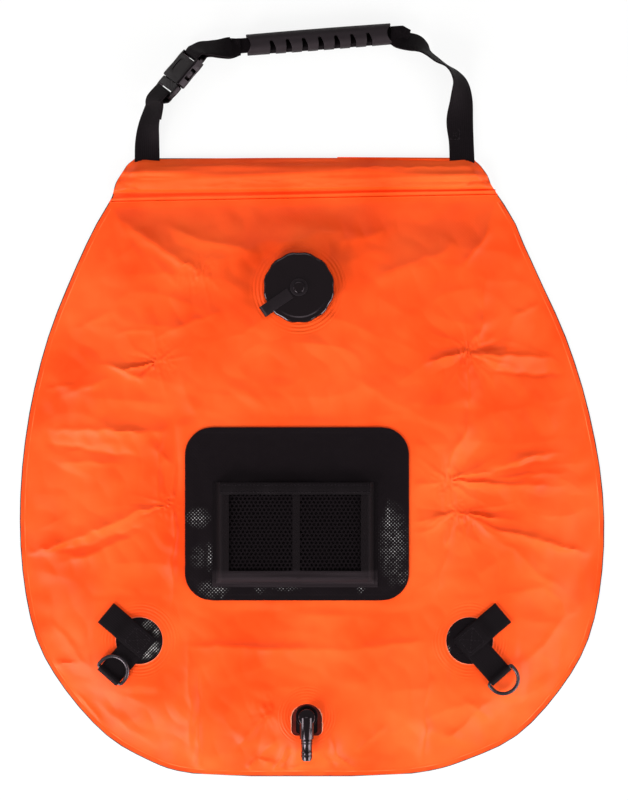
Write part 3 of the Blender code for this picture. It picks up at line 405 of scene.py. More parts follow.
def setStage():
    scene = bpy.context.scene
    scene.view_settings.view_transform = "Standard"
    data = bpy.data.cameras.new("overhead")
    viewer = bpy.data.objects.new("overhead", data)
    scene.collection.objects.link(viewer)
    viewer.location = (camera["centreX"], camera["centreY"], camera["distance"])
    data.sensor_fit = "VERTICAL"
    data.sensor_height = camera["sensor"]
    data.lens = data.sensor_height * (camera["distance"] - camera["focusZ"]) / camera["viewHeight"]
    data.clip_end = camera["clipEnd"]
    scene.camera = viewer

    for name, (place, wide, tall, power) in lights.items():
        light = bpy.data.lights.new("softbox_" + name, "AREA")
        light.shape = "RECTANGLE"
        light.size, light.size_y, light.energy = wide, tall, power
        holder = bpy.data.objects.new("softbox_" + name, light)
        scene.collection.objects.link(holder)
        holder.location = place
        holder.rotation_euler = (-Vector(place)).to_track_quat("-Z", "Y").to_euler()

    scene.world = bpy.data.worlds.new("studio")
    scene.world.use_nodes = True
    tree = scene.world.node_tree
    seen = addNode(tree, "LightPath", {})
    level = mathNode(tree, "MAXIMUM", (seen, "Is Camera Ray"), (seen, "Is Transmission Ray"))
    strength = mapNode(tree, level, 0, 1, studio["worldLevel"], studio["backdrop"])
    linkTo(tree, strength, tree.nodes["Background"].inputs["Strength"])
    tree.nodes["Background"].inputs["Color"].default_value = (1, 1, 1, 1)

    deselectAll()
    bpy.ops.mesh.primitive_plane_add(size=studio["floorSize"], location=(0, 0, 0))
    floor = bpy.context.object
    floor.name = "studioFloor"
    floor.data.transform(Matrix.Translation((0, 0, -studio["floorDrop"])))
    finish = {"Base Color": linear(studio["floorWhite"]), "Roughness": studio["floorRoughness"]}
    material, tree = newMaterial("paintedBoard", finish)[:2]
    seen = addNode(tree, "LightPath", {})
    glow = addNode(tree, "Emission", {"Color": (1, 1, 1, 1), "Strength": studio["backdrop"]})
    share = mathNode(tree, "MULTIPLY", (seen, "Is Camera Ray"), studio["floorGlow"])
    mixed = addNode(tree, "MixShader", {0: share, 1: tree.nodes["Principled BSDF"], 2: glow})
    linkTo(tree, mixed, tree.nodes["Material Output"].inputs["Surface"])
    floor.data.materials.append(material)
    print("stage set")


# Materials

def weldRings(tree, where):
    # Fine rings pressed into the film round each weld: a wave of the distance, kept within a radius
    total = 0.0
    for weld in welds.values():
        at = (*weld["at"], film["topZ"])
        away = (addNode(tree, "VectorMath", {"operation": "DISTANCE", 0: where, 1: at}), "Value")
        turns = mathNode(tree, "MULTIPLY", away, 2 * math.pi / weld["ringPitch"])
        inside = mapNode(tree, away, weld["ringsEnd"], weld["ringsEnd"] - film["ringFade"], kind="SMOOTHSTEP")
        held = mathNode(tree, "MULTIPLY", mathNode(tree, "SINE", turns), inside)
        total = mathNode(tree, "ADD", total, held)
    return total


def crossedBands(tree, where, pitch):
    # Two wave patterns that cross at 45 degrees
    turned = addNode(tree, "Mapping", {"Rotation": (0, 0, math.radians(45)), "Vector": where})
    scale = wavePeriod / pitch
    return [(addNode(tree, "TexWave", {"bands_direction": axis, "Scale": scale, "Vector": turned}), "Fac")
            for axis in "XY"]


def makeCoatedFilm():
    # PVC-coated polyester: satin, with faint scrim showing through and fine creases from being folded
    # Of these tones, the seam's is painted shade and the line beside it a painted highlight
    tones = {"base": "#F84F16", "deep": "#EF430C", "pale": "#FB5A1F", "seam": "#D93F10",
             "seamHighlight": "#FF7440", "rawEdge": "#F6A183", "patch": 0.075, "crease": 0.055,
             "weavePitch": 0.0017}
    material, tree, where = newMaterial("coatedPolyester", {"Specular IOR Level": 0.15})
    cloud = noiseNode(tree, where, 1 / tones["patch"], 4.0, Roughness=0.55)
    colour = rampNode(tree, cloud, (0.34, linear(tones["deep"])), (0.68, linear(tones["pale"])),
                      (0.5, linear(tones["base"])))
    # The welded band round the edge is painted darker, as painted shade where the film curves down into the
    # weld, with a painted highlight line beside it. Cut edges show a pale core, painted paler still on the
    # window's sides as a painted highlight
    seam, edgeAndGlint = ((addNode(tree, "Attribute", {"attribute_name": name}), "Fac")
                 for name in ("seam", "rawEdge"))
    uneven = noiseNode(tree, where, 45.0, 3.0)
    patchy = mapNode(tree, uneven, 0.42, 0.62, 0.12, 0.8)
    # Painted shade along the weld band, and a thin painted highlight line just inside it
    band = mapNode(tree, seam, 0.845, 0.875, kind="SMOOTHSTEP")
    line = mathNode(tree, "COMPARE", seam, 0.835, 0.016)
    colour = mixNode(tree, mathNode(tree, "MULTIPLY", band, patchy), colour, tones["seam"])
    colour = mixNode(tree, mathNode(tree, "MULTIPLY", line, patchy), colour, tones["seamHighlight"])
    colour = mixNode(tree, mapNode(tree, edgeAndGlint, 0.35, 0.85), colour, tones["rawEdge"])
    crease = noiseNode(tree, where, 1 / tones["crease"], 2.5, noise_type="RIDGED_MULTIFRACTAL",
                       Roughness=0.45, Distortion=0.5)
    soft = bumpNode(tree, crease, 0.35, 0.0016)
    # Weld rings and the scrim's threads come and go
    come = mapNode(tree, uneven, 0.38, 0.62, 0.2, 1.2)
    rings = bumpNode(tree, mathNode(tree, "MULTIPLY", weldRings(tree, where), come), 0.55, 0.00018, soft)
    weave = mathNode(tree, "MAXIMUM", *crossedBands(tree, where, tones["weavePitch"]))
    shown = mapNode(tree, noiseNode(tree, where, 24.0, 1.0), 0.48, 0.66, 0.08, 1.0)
    fine = bumpNode(tree, mathNode(tree, "MULTIPLY", weave, shown), 0.16, 0.0003, rings)
    wire(tree, {"Base Color": colour, "Roughness": mapNode(tree, cloud, 0.3, 0.7, 0.44, 0.56),
                "Normal": fine})
    return material


def makeScrim(name, base, threads, roughness, pitch, dots, spots):
    # Clear film laminated over a black scrim. The silver shine of the threads' crossings is a painted
    # highlight, placed in the listed spots.
    material, tree, where = newMaterial(name, {"Specular IOR Level": 0.22, "Specular Tint": blackTint})
    first, second = crossedBands(tree, where, pitch)
    # Crossings only show as dots, a lower share of dots leaves bars
    weave = mathNode(tree, "MULTIPLY", first, mapNode(tree, second, 0, 1, 1 - dots))
    total = 0.0
    for x, y, wide, tall, level in spots:
        # A soft oval in millimetres
        oval = addNode(tree, "Mapping", {"vector_type": "TEXTURE", "Location": (x / 1000, y / 1000, 0),
                                         "Scale": (wide / 1000, tall / 1000, 1), "Vector": where})
        away = addNode(tree, "VectorMath", {"operation": "LENGTH", 0: oval}), "Value"
        near = mapNode(tree, away, 1, 0, 0, level, "SMOOTHSTEP")
        total = mathNode(tree, "MAXIMUM", total, near)
    cloud = noiseNode(tree, where, 210.0, 2.0, Roughness=0.6)
    # Painted highlight: the listed spots, broken up by noise
    loose = mathNode(tree, "MULTIPLY", total, mapNode(tree, cloud, 0.40, 0.62, 0.15, 1.3))
    paintedGlint = mathNode(tree, "MULTIPLY", loose, mapNode(tree, weave, 0.46, 0.90))
    paintedGlint.use_clamp = True
    slack = bumpNode(tree, noiseNode(tree, where, 70.0, 2.0), 0.30, 0.0015)
    wire(tree, {"Base Color": mixNode(tree, paintedGlint, base, threads),
                "Roughness": mapNode(tree, cloud, 0, 1, roughness * 0.85, roughness * 1.2),
                "Normal": bumpNode(tree, weave, 0.18, 0.0004, slack)})
    return material


def makeBandVinyl():
    # Dull coated fabric of the pocket's bands: the lower band is painted greyer, with fine streaks along it, as
    # a painted highlight
    band = {"deep": "#0A0708", "pale": "#2A2326", "highlightTop": -0.0815, "highlightLow": -0.0850, "pitch": 0.0016}
    material, tree, where = newMaterial("coatedBand", {"Roughness": 0.62, "Specular IOR Level": 0.10,
                                                       "Specular Tint": blackTint})
    split = addNode(tree, "SeparateXYZ", {0: where})
    # Painted highlight: the lower band greyer and streaked
    low = mapNode(tree, (split, "Y"), band["highlightTop"], band["highlightLow"], kind="SMOOTHSTEP")
    drawn = addNode(tree, "Mapping", {"Scale": (12.0, 420.0, 12.0), "Vector": where})
    share = mathNode(tree, "MULTIPLY", low, noiseNode(tree, drawn, 1.0, 2.0))
    weave = mathNode(tree, "MAXIMUM", *crossedBands(tree, where, band["pitch"]))
    wire(tree, {"Base Color": mixNode(tree, share, band["deep"], band["pale"]),
                "Normal": bumpNode(tree, weave, 0.25, 0.0003)})
    return material


def makeSheetPlastic():
    # Black PVC back sheet, calendered: dull, with a faint leather-like grain
    material, tree, where = newMaterial("calenderedSheet", {"Roughness": 0.55, "Specular IOR Level": 0.25})
    grain = addNode(tree, "TexVoronoi", {"Scale": 700.0, "Vector": where})
    wire(tree, {"Base Color": tintNode(tree, noiseNode(tree, where, 18.0, 3.0), "#161417", "#201E21"),
                "Normal": bumpNode(tree, grain, 0.2, 0.0003)})
    return material


def makeMoulded(name, base, roughness, grainSize, strength, specular=0.22):
    # Injection-moulded plastic or rubber: even colour, a spark-eroded grain, handling marks in the gloss
    material, tree, where = newMaterial(name, {"Specular IOR Level": specular, "Specular Tint": blackTint})
    cloud = noiseNode(tree, where, 90.0, 4.0)
    deep, pale = (tuple(c * level for c in linear(base)[:3]) + (1,) for level in (0.85, 1.2))
    wire(tree, {"Roughness": mapNode(tree, cloud, 0, 1, roughness * 0.8, roughness * 1.25),
                "Base Color": rampNode(tree, cloud, (0, deep), (1, pale)),
                "Normal": bumpNode(tree, noiseNode(tree, where, 1 / grainSize, 2.0), strength, 0.0003)})
    return material


def makeWebbing(name, weft, deep, pale, strength):
    # Woven polypropylene: a herringbone of picks across and ribs along the tape. UV is in metres.
    material, tree = newMaterial(name, {
        "Roughness": 0.66, "Specular IOR Level": 0.10, "Sheen Weight": 0.01, "Sheen Roughness": 0.5,
        "Specular Tint": blackTint})[:2]
    where = addNode(tree, "UVMap", {"uv_map": "weaveMap"})
    across = addNode(tree, "TexWave", {"bands_direction": "Y", "Scale": wavePeriod / weft, "Distortion": 0.6,
                                       "Detail": 1.0, "Detail Scale": 3.0, "Vector": where})
    along = addNode(tree, "TexWave", {"bands_direction": "X", "Scale": wavePeriod / (weft * 1.6),
                                      "Distortion": 0.3, "Vector": where})
    cross = mathNode(tree, "MULTIPLY", (across, "Fac"), (along, "Fac"))
    wire(tree, {"Base Color": tintNode(tree, cross, deep, pale),
                "Normal": bumpNode(tree, cross, strength, 0.0003)})
    return material


def makeMesh():
    # Raschel-knit polyester mesh: dull black yarn
    material, tree, where = newMaterial("knittedMesh", {"Roughness": 0.75, "Specular IOR Level": 0.09,
                                                        "Specular Tint": blackTint})
    yarn = noiseNode(tree, where, 1800.0, 1.0)
    wire(tree, {"Base Color": tintNode(tree, yarn, "#040203", "#0B0709"),
                "Normal": bumpNode(tree, yarn, 0.3, 0.0002)})
    return material


def makeShadeLedgeFilm():
    # Dark red film on the ledge inside the outlet's window: painted shade, standing in for the window's walls
    # in shadow
    material, tree, where = newMaterial("shadeLedgeFilm", {"Specular IOR Level": 0.25, "Roughness": 0.4})
    cloud = noiseNode(tree, where, 260.0, 2.0)
    wire(tree, {"Base Color": tintNode(tree, cloud, "#260604", "#74180D"),
                "Normal": bumpNode(tree, cloud, 0.3, 0.0004)})
    return material


# Front film

film = {
    "seamBand": 0.0040, "sideRun": 0.078, "endRun": 0.056, "topZ": 0.0138, "edgeInset": 0.0008,
    "wallThick": 0.0008, "columns": 322, "rows": 288, "ringFade": 0.006, "middle": (0.005, -0.02),
    "heldRun": 0.020, "reliefRun": 0.024, "sink": 0.0006, "topSpare": 0.0002, "underHem": 0.0004,
    "seamReach": 0.02,
    # Random hills of the slack film: height, length, seed, and for the creased ones their stretch
    "swell": (0.0011, 0.085, 4), "creased": ((-0.0008, 0.060, 12, 1.6), (0.0004, 0.026, 7, 1.0)),
    # Where columns and rows crowd, since folds run together there or the weld is near: gain, place, width
    "crowdAcross": ((0.9, 0.76, 0.06), (0.8, 0.24, 0.05), (0.8, 0, 0.03), (0.8, 1, 0.03)),
    "crowdUp": ((0.7, 0.735, 0.05), (0.8, 0.485, 0.08), (0.6, 0, 0.03), (0.6, 1, 0.03)),
}
# Hardware welded to the film: centre, radius that lies flat, how far the film falls away round it, weld rings
welds = {
    "filler": {"at": (-0.0044, 0.1427), "flat": 0.0245, "fall": 0.056, "ringsEnd": 0.0400, "ringPitch": 0.0029},
    "outlet": {"at": (0.0018, -0.1996), "flat": 0.0165, "fall": 0.034, "ringsEnd": 0.0265, "ringPitch": 0.0024},
    "left": {"at": (-0.132, -0.1392), "flat": 0.0205, "fall": 0.040, "ringsEnd": 0.0330, "ringPitch": 0.0026},
    "right": {"at": (0.132, -0.1392), "flat": 0.0205, "fall": 0.040, "ringsEnd": 0.0330, "ringPitch": 0.0026},
}
# Radii of the round holes; the window's half width, top and low end from the outlet's axis, and corner
holes = {"filler": 0.0229, "left": 0.0187, "right": 0.0187, "window": (0.0122, 0.0098, -0.0156, 0.0042),
         "snap": 0.0030}
# Ledge of painted shade inside the outlet's window, over its base: outer and inner outlines, low and high z
shadeLedge = {"outer": (0.0119, 0.0095, -0.0153, 0.0040), "inner": (0.0086, 0.0066, -0.0142, 0.0030),
         "low": 0.01312, "high": 0.01335, "cut": (0.010, 0.016)}

# Folds seen in the film, in millimetres. Ridges: start, end, half width left and right of the way, height.
# Knots, where folds run together: place, reach, then bearing, height and half angle of each fold.
filmFolds = {
    "gain": 1.45,
    "ridges": (
        (-156, 204, -84, 153, 11, 6, 2.6), (-116, 193, -36, 169, 10, 7, 1.9),
        (-128, 172, -96, 142, 7, 5, 1.0), (-36, 169, 18, 190, 10, 12, 0.9),
        (-127, 100, -70, 122, 8, 5, 1.2), (-60, 104, -18, 122, 9, 6, 1.1),
        (-160, 82, -127, 66, 5, 2.6, 2.2), (-146, 76, -117, 84, 2.6, 2.0, 1.4),
        (-150, 104, -120, 108, 4, 3, 0.8), (-215, 34, -196, 57, 13, 8, 1.8),
        (-196, 57, -160, 70, 13, 7, 2.0), (-206, 30, -114, 27, 8, 5, 2.4), (-205, 18, -131, 8, 5, 7, -1.8),
        (-198, 4, -150, 2, 6, 5, 1.0), (-222, -72, -122, -34, 9, 4, 2.7),
        (-205, -70, -128, -48, 3, 4, -1.2), (-196, -78, -134, -54, 4, 6, 1.1),
        (-116, 30, -118, -32, 4, 6, 1.3), (-100, 14, -101, -26, 3, 3, -1.0),
        (-104, -34, -106, -112, 7, 4, 1.6), (-122, 18, -106, 2, 4, 8, 1.2), (-100, 74, -70, 6, 14, 10, 1.2),
        (132, 91, 199, 87, 5, 7, 2.3), (150, 76, 214, 74, 6, 4, -1.4), (97, 84, 130, 92, 4, 6, 1.7),
        (132, 90, 131, 40, 9, 5, 1.7), (131, 40, 114, -6, 10, 5, 2.4), (146, 150, 140, 104, 6, 4, 1.2),
        (142, 118, 141, 96, 2.0, 2.0, 1.0), (113, -9, 205, 10, 6, 4, 2.6), (140, -2, 196, 3, 3, 3, -1.5),
        (113, -11, 170, 3, 5, 4, -1.5), (114, -12, 207, -16, 7, 8, 2.1), (150, -8, 208, -4, 4, 4, 1.0),
        (123, -39, 224, -69, 3.5, 7, 2.7), (123, -40, 156, -41, 2.2, 2.2, 1.2),
        (123, -38, 96, -46, 3, 4, 1.2), (120, -36, 114, -12, 4, 4, 1.2), (120, -42, 112, -66, 5, 4, 1.4),
        (118, -60, 104, -110, 8, 6, 1.1), (150, -52, 216, -108, 8, 7, 1.4),
        (-92, -143, 32, -147, 5, 8, 1.9), (32, -147, 100, -139, 5, 8, 1.6),
        (-92, -139, -93, -240, 8, 5, 1.6), (-84, -160, -86, -226, 4, 4, -0.9),
        (98, -147, 97, -230, 5, 8, 1.5), (-56, -226, -28, -196, 6, 4, 1.7),
        (-44, -238, -14, -214, 5, 4, 1.2), (32, -242, 16, -208, 4, 6, 1.4), (40, -232, 66, -206, 6, 5, 1.1),
        (-172, -188, -122, -224, 8, 6, 1.7), (-204, -126, -168, -166, 9, 6, 1.4),
        (150, -186, 112, -218, 8, 6, 1.6), (208, -120, 178, -160, 9, 6, 1.3), (24, 178, 72, 190, 8, 8, 1.0),
        (56, 150, 124, 182, 12, 8, 1.3), (40, 70, 96, 36, 12, 10, 1.3), (-64, 66, -14, 44, 14, 10, 1.0),
        (150, 190, 128, 160, 5, 5, 1.5), (-186, 110, -150, 128, 12, 8, 1.1),
        (172, 130, 150, 60, 14, 9, 1.2), (186, 60, 200, 30, 8, 8, 1.0),
    ),
    "knots": (
        (131.6, 90.8, 46, ((190, 2.2, 8), (-6, 1.6, 5), (5, 1.3, 4), (-16, 1.4, 4), (64, 1.4, 8),
                           (-50, 1.3, 6), (-94, 2.0, 11), (212, -1.2, 7), (-30, -1.1, 5), (100, 1.0, 8),
                           (24, -0.9, 5), (38, 1.0, 6), (150, 0.9, 9), (-70, -0.9, 5), (236, 0.9, 7))),
        (112.4, -10.0, 62, ((12, 1.8, 5), (-6, 2.1, 8), (2, -1.6, 4), (75, 1.8, 12), (196, 1.3, 9),
                            (-88, 1.3, 11), (140, 1.1, 11), (40, -1.2, 11), (22, 1.0, 5), (-20, -1.0, 6),
                            (-32, 1.0, 6))),
        (122.8, -38.5, 58, ((-6, 1.5, 4), (-15, -1.5, 4), (-24, 1.8, 5), (188, 1.2, 6), (206, 1.3, 6),
                            (-70, 1.2, 11), (100, 1.0, 8), (4, -0.9, 4), (12, 0.9, 4), (-44, -0.8, 7),
                            (168, -0.8, 6))),
        (-116.7, 84.0, 38, ((197, 1.7, 6), (145, 1.5, 9), (180, -1.1, 5), (38, 1.0, 12), (-80, 0.9, 10),
                            (215, -1.2, 6), (228, 1.0, 6), (160, -0.8, 5), (100, 0.9, 9), (10, 0.8, 7))),
        (-105.6, -30.4, 44, ((196, 1.7, 5), (206, -1.3, 5), (-14, 0.9, 8), (-90, 1.5, 8), (-74, -0.9, 5),
                             (86, 1.2, 6), (165, 0.9, 8), (182, -0.8, 4), (110, -0.8, 6), (60, 0.8, 8))),
        (-83.6, 153.2, 34, ((146, 1.2, 9), (-30, 1.0, 9), (-70, 0.8, 9), (60, 0.8, 10), (175, -0.8, 7))),
        (-28, -196, 26, ((228, 1.2, 8), (250, -0.9, 7), (200, 0.8, 8))),
    ),
}
# Puckers that run right to the welded edge
edgeFolds = {
    "gain": 1.8,
    "ridges": (
        (-46, -243, -38.5, -235.5, 2.2, 2.6, 1.1), (-39.5, -236, -24.5, -236.6, 2.0, 2.6, 1.1),
        (-26, -243, -12, -223, 2.4, 3.4, 1.7), (-18, -240, -8, -226, 2.6, 3.0, -1.2),
        (22, -221, 38, -243, 4.0, 2.8, 1.6), (14, -226, 26, -241, 3.0, 3.0, -1.1),
        (-12, -240.6, 10, -239.6, 1.8, 2.0, 0.9), (-85, -196, -85, -246, 5.0, 3.6, 1.3),
        (-183, -183, -158, -213, 2.6, 3.0, 0.9), (-207, -160, -178, -157, 2.6, 4.0, 1.2),
        (-224, -72, -190, -62, 4.0, 3.0, 0.9), (228, -70, 196, -62, 3.0, 4.0, 1.0),
        (214, -118, 190, -98, 3.0, 4.0, 0.9), (150, -202, 128, -188, 4.0, 3.0, 1.0),
        (97, -206, 96, -240, 4.0, 4.0, 1.0), (186, 130, 168, 118, 3.0, 3.0, 0.8),
        (-208, 62, -186, 66, 3.0, 4.0, 0.8),
    ),
    "knots": (),
}
# How the folds' ways wander: reach, length and first seed of a slow and of a quick wave
wander = ((0.0014, 0.034, 41), (0.0005, 0.012, 43))
# How far the flattened films reach beyond the CAD outline, in millimetres: y and reach on each side
outlineSpread = {
    "left": ((-250, 1.5), (180, 1.5), (196, 1.2), (210.8, 0.0), (250, 0.0)),
    "right": ((-250, 2.4), (-180, 2.4), (-100, 2.2), (100, 1.9), (155, 0.6), (176, 1.2), (188, 3.2), (205, 3.8),
              (210.8, 2.8), (245, 0.0)),
    "low": 1.4,
}
# The sleeve's ends round outwards: reach, and where up the sleeve this starts and is full
hemBulges = {"left": (0.0043, 0.08, 0.56), "right": (0.0033, 0.34, 0.68)}
# The sleeve was welded on a little askew: height of its lower line in the middle, and rise to x
hemLine = {"lift": 0.0036, "rise": 0.0028, "at": 0.155}


def edgePoints():
    # The back sheet's corner points in order round the bag, from the top left down and up to the top right
    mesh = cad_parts["back_panel"].data
    points = np.array(sorted({(round(v.co.x, 5), round(v.co.y, 5)) for v in mesh.vertices}))
    points = points[np.argsort(np.arctan2(points[:, 0], film["middle"][1] - points[:, 1]))]
    x, y = points.T.copy()
    for side, sign in (("left", -1), ("right", 1)):
        at, out = np.array(outlineSpread[side]).T / 1000
        points[:, 0] += sign * np.interp(y, at, out) * smoothStep(0.05, 0.19, sign * x)
    points[:, 1] -= outlineSpread["low"] / 1000 * smoothStep(-0.12, -0.23, y)
    return points


def sideLines(points):
    # x of the bag's left and right edges as functions of y
    lines = []
    for sign in (-1, 1):
        side = points[points[:, 0] * sign > 0.02]
        x, y = side[np.argsort(side[:, 1])].T
        lines.append(lambda at, x=x, y=y: np.interp(at, y, x))
    return lines


def hemBulge(y, side):
    low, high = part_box("hem_sleeve")
    share = (y - low.y) / (high.y - low.y)
    reach, start, full = hemBulges[side]
    return reach * smoothStep(start, full, share) * smoothStep(1.08, 0.84, share)


def weldLift(x, share):
    return (hemLine["lift"] + hemLine["rise"] * x / hemLine["at"]) * share


def nearest(x, y, loop):
    # Nearest point of a closed outline, and its distance, for every x and y
    way = np.roll(loop, -1, axis=0) - loop
    length2 = np.maximum((way ** 2).sum(1), 1e-12)
    spots, gaps = np.empty((len(x), 2)), np.empty(len(x))
    batch = 8000
    for low in range(0, len(x), batch):
        px = x[low:low + batch, None] - loop[None, :, 0]
        py = y[low:low + batch, None] - loop[None, :, 1]
        t = np.clip((px * way[:, 0] + py * way[:, 1]) / length2, 0, 1)
        gap = np.hypot(px - t * way[:, 0], py - t * way[:, 1])
        best = gap.argmin(1)
        rows = np.arange(len(best))
        gaps[low:low + batch] = gap[rows, best]
        spots[low:low + batch] = loop[best] + way[best] * t[rows, best][:, None]
    return spots, gaps


def insideLoop(x, y, loop):
    # Even-odd test against a closed outline
    count = np.zeros(len(x), dtype=int)
    for (ax, ay), (bx, by) in zip(loop, np.roll(loop, -1, axis=0)):
        crosses = (ay > y) != (by > y)
        at = ax + (y - ay) * (bx - ax) / (by - ay if by != ay else 1e-12)
        count += crosses & (x < at)
    return count % 2 == 1


def smoothField(x, y, length, seed, stretch=1.0):
    # Random smooth hills about one length across, made of a few sine waves
    random = np.random.default_rng(seed)
    total = np.zeros_like(x)
    for k in range(9):
        turn, phase = random.random(2) * 2 * math.pi
        pace = 2 * math.pi / (length * random.uniform(0.75, 1.5))
        total += np.sin(pace * (x * math.cos(turn) + y * math.sin(turn) * stretch) + phase)
    return total / 3


def foldRelief(x, y, folds):
    # Places are pulled about a little first, since no fold runs quite straight
    pulled = [place + sum(reach * smoothField(x, y, length, seed + k) for reach, length, seed in wander)
              for k, place in enumerate((x, y))]
    x, y = pulled
    total = np.zeros_like(x)
    for ridge in folds["ridges"]:
        ax, ay, endX, endY, left, right, high = np.array(ridge) / 1000
        bx, by = endX - ax, endY - ay
        length = math.hypot(bx, by)
        t = ((x - ax) * bx + (y - ay) * by) / length ** 2
        off = (bx * (y - ay) - by * (x - ax)) / length
        share = np.where(off > 0, off / left, off / -right)
        crest = np.exp(-(np.sqrt(share * share + 0.02) - 0.141) * 1.5) * (1 - smoothStep(1.8, 3.2, share))
        total += folds["gain"] * high * smoothStep(-0.15, 0.30, t) * smoothStep(1.15, 0.65, t) * crest
    for cx, cy, reach, spokes in folds["knots"]:
        dx, dy = x - cx / 1000, y - cy / 1000
        away = np.hypot(dx, dy) / (reach / 1000)
        fade = away / (0.10 + away) * (1 - smoothStep(0.30, 1.0, away))
        turn = np.degrees(np.arctan2(dy, dx))
        total += 0.0009 * np.exp(-(away * reach / 11) ** 2) * (np.abs(smoothField(x, y, 0.0075, 51)) - 0.5)
        for bearing, high, half in spokes:
            apart = np.abs((turn - bearing + 180) % 360 - 180) / half
            total += high / 1000 * fade * np.exp(-(np.sqrt(apart * apart + 0.04) - 0.2) * 1.3) * (apart < 5)
    return total


def calmNear(x, y):
    # 0 under hardware, where the film is held flat, growing to 1 away from it
    calm = np.ones_like(x)
    for weld in welds.values():
        away = np.hypot(x - weld["at"][0], y - weld["at"][1])
        calm *= smoothStep(weld["flat"], weld["flat"] + 0.016, away)
    flats = [("pocket_backing", 0.0005, 0.010), ("outlet_spout", 0.0008, 0.010)]
    for side in ("left", "right"):
        flats += [(kind + side, 0.0003, 0.008) for kind in ("tab_strip_", "tab_loop_", "d_ring_")]
    for node, near, far in flats:
        low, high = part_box(node)
        away = np.hypot(np.maximum(np.maximum(low.x - x, x - high.x), 0),
                        np.maximum(np.maximum(low.y - y, y - high.y), 0))
        calm *= smoothStep(near, far, away)
    return calm


def filmHeight(x, y, distance):
    base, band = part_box("front_panel")[0].z + film["wallThick"], film["seamBand"]
    # The film swells from the weld, sooner at the top and bottom than at the sides
    run = film["sideRun"] + (film["endRun"] - film["sideRun"]) * smoothStep(0.10, 0.19, np.abs(y))
    share = np.clip((distance - band) / (run - band), 0, 1)
    z = base + (film["topZ"] - base) * np.sin(share * math.pi / 2) ** 1.25
    held = np.zeros_like(x)
    for weld in welds.values():
        away = np.hypot(x - weld["at"][0], y - weld["at"][1])
        held = np.maximum(held, 1 - smoothStep(weld["flat"], weld["flat"] + weld["fall"], away))
    z += (film["topZ"] - z) * held * smoothStep(band, band + film["heldRun"], distance)
    high, length, seed = film["swell"]
    relief = foldRelief(x, y, filmFolds) - film["sink"] + high * smoothField(x, y, length, seed)
    for high, length, seed, stretch in film["creased"]:
        relief += high * np.abs(smoothField(x, y, length, seed, stretch))
    calm = calmNear(x, y)
    z += relief * calm * smoothStep(band, film["reliefRun"], distance)
    z += foldRelief(x, y, edgeFolds) * calm * smoothStep(band - 0.0015, band + 0.0030, distance)
    # Short puckers where the film is gathered by the weld
    turn = np.arctan2(y - film["middle"][1], x - film["middle"][0])
    ripples = np.sin(turn * 47 + 2.6 * np.sin(turn * 7)) * (0.3 + 0.7 * np.sin(turn * 9 + 1.0) ** 2)
    z += 0.0006 * bump(distance, 0.011, 0.006) * ripples
    return np.maximum(z, base - 0.0003)


def spread(count, crowds):
    # Shares from 0 to 1 that lie closer together at the crowded places
    fine = np.linspace(0, 1, 2001)
    middles = (fine[1:] + fine[:-1]) / 2
    density = sum((gain * bump(middles, at, width) for gain, at, width in crowds), np.ones_like(middles))
    total = np.concatenate([[0], np.cumsum(density)])
    return np.interp(np.linspace(0, 1, count + 1), total / total[-1], fine)


def windowOutline(half, top, low, corner):
    # A round top and two rounded corners below
    x, y = welds["outlet"]["at"]
    return (arc((x, y + top - half), half, 0, 180, 40)
            + arc((x - half + corner, y + low + corner), corner, 180, 270, 8)
            + arc((x + half - corner, y + low + corner), corner, 270, 360, 8))


def openHoles(piece):
    # Faces inside each outline go, and the points left round it are drawn onto the outline
    loops = {}
    for name in ("filler", "left", "right"):
        loops[name] = np.array(arc(welds[name]["at"], holes[name], 0, 357, 119))
    loops["window"] = np.array(windowOutline(*holes["window"]))
    x, y, z = readPlaces(piece.data.polygons, "center").T
    deleteFaces(piece, np.any([insideLoop(x, y, loop) for loop in loops.values()], axis=0))
    mesh = piece.data
    uses = np.zeros(len(mesh.edges), dtype=int)
    loopEdges = np.empty(len(mesh.loops), dtype=int)
    mesh.loops.foreach_get("edge_index", loopEdges)
    np.add.at(uses, loopEdges, 1)
    ends = np.empty(len(mesh.edges) * 2, dtype=int)
    mesh.edges.foreach_get("vertices", ends)
    rim = np.unique(ends.reshape(-1, 2)[uses == 1])
    places = readPlaces(mesh.vertices)
    edgeAndGlint = np.zeros(len(places))
    for name, loop in loops.items():
        spots, gaps = nearest(places[rim, 0], places[rim, 1], loop)
        near = gaps < holes["snap"]
        chosen, up = rim[near], spots[near, 1]
        places[chosen, :2] = spots[near]
        edgeAndGlint[chosen] = 0.6
        # Painted highlight: the window's left and right edges are paler, fading towards its top and low end
        if name == "window":
            low, high = loop[:, 1].min(), loop[:, 1].max()
            edgeAndGlint[chosen] = 0.44 + (0.56 * smoothStep(low + 0.001, low + 0.004, up)
                                  * smoothStep(high - 0.001, high - 0.008, up))
    mesh.attributes["rawEdge"].data.foreach_set("value", edgeAndGlint)
    movePoints(piece, places)


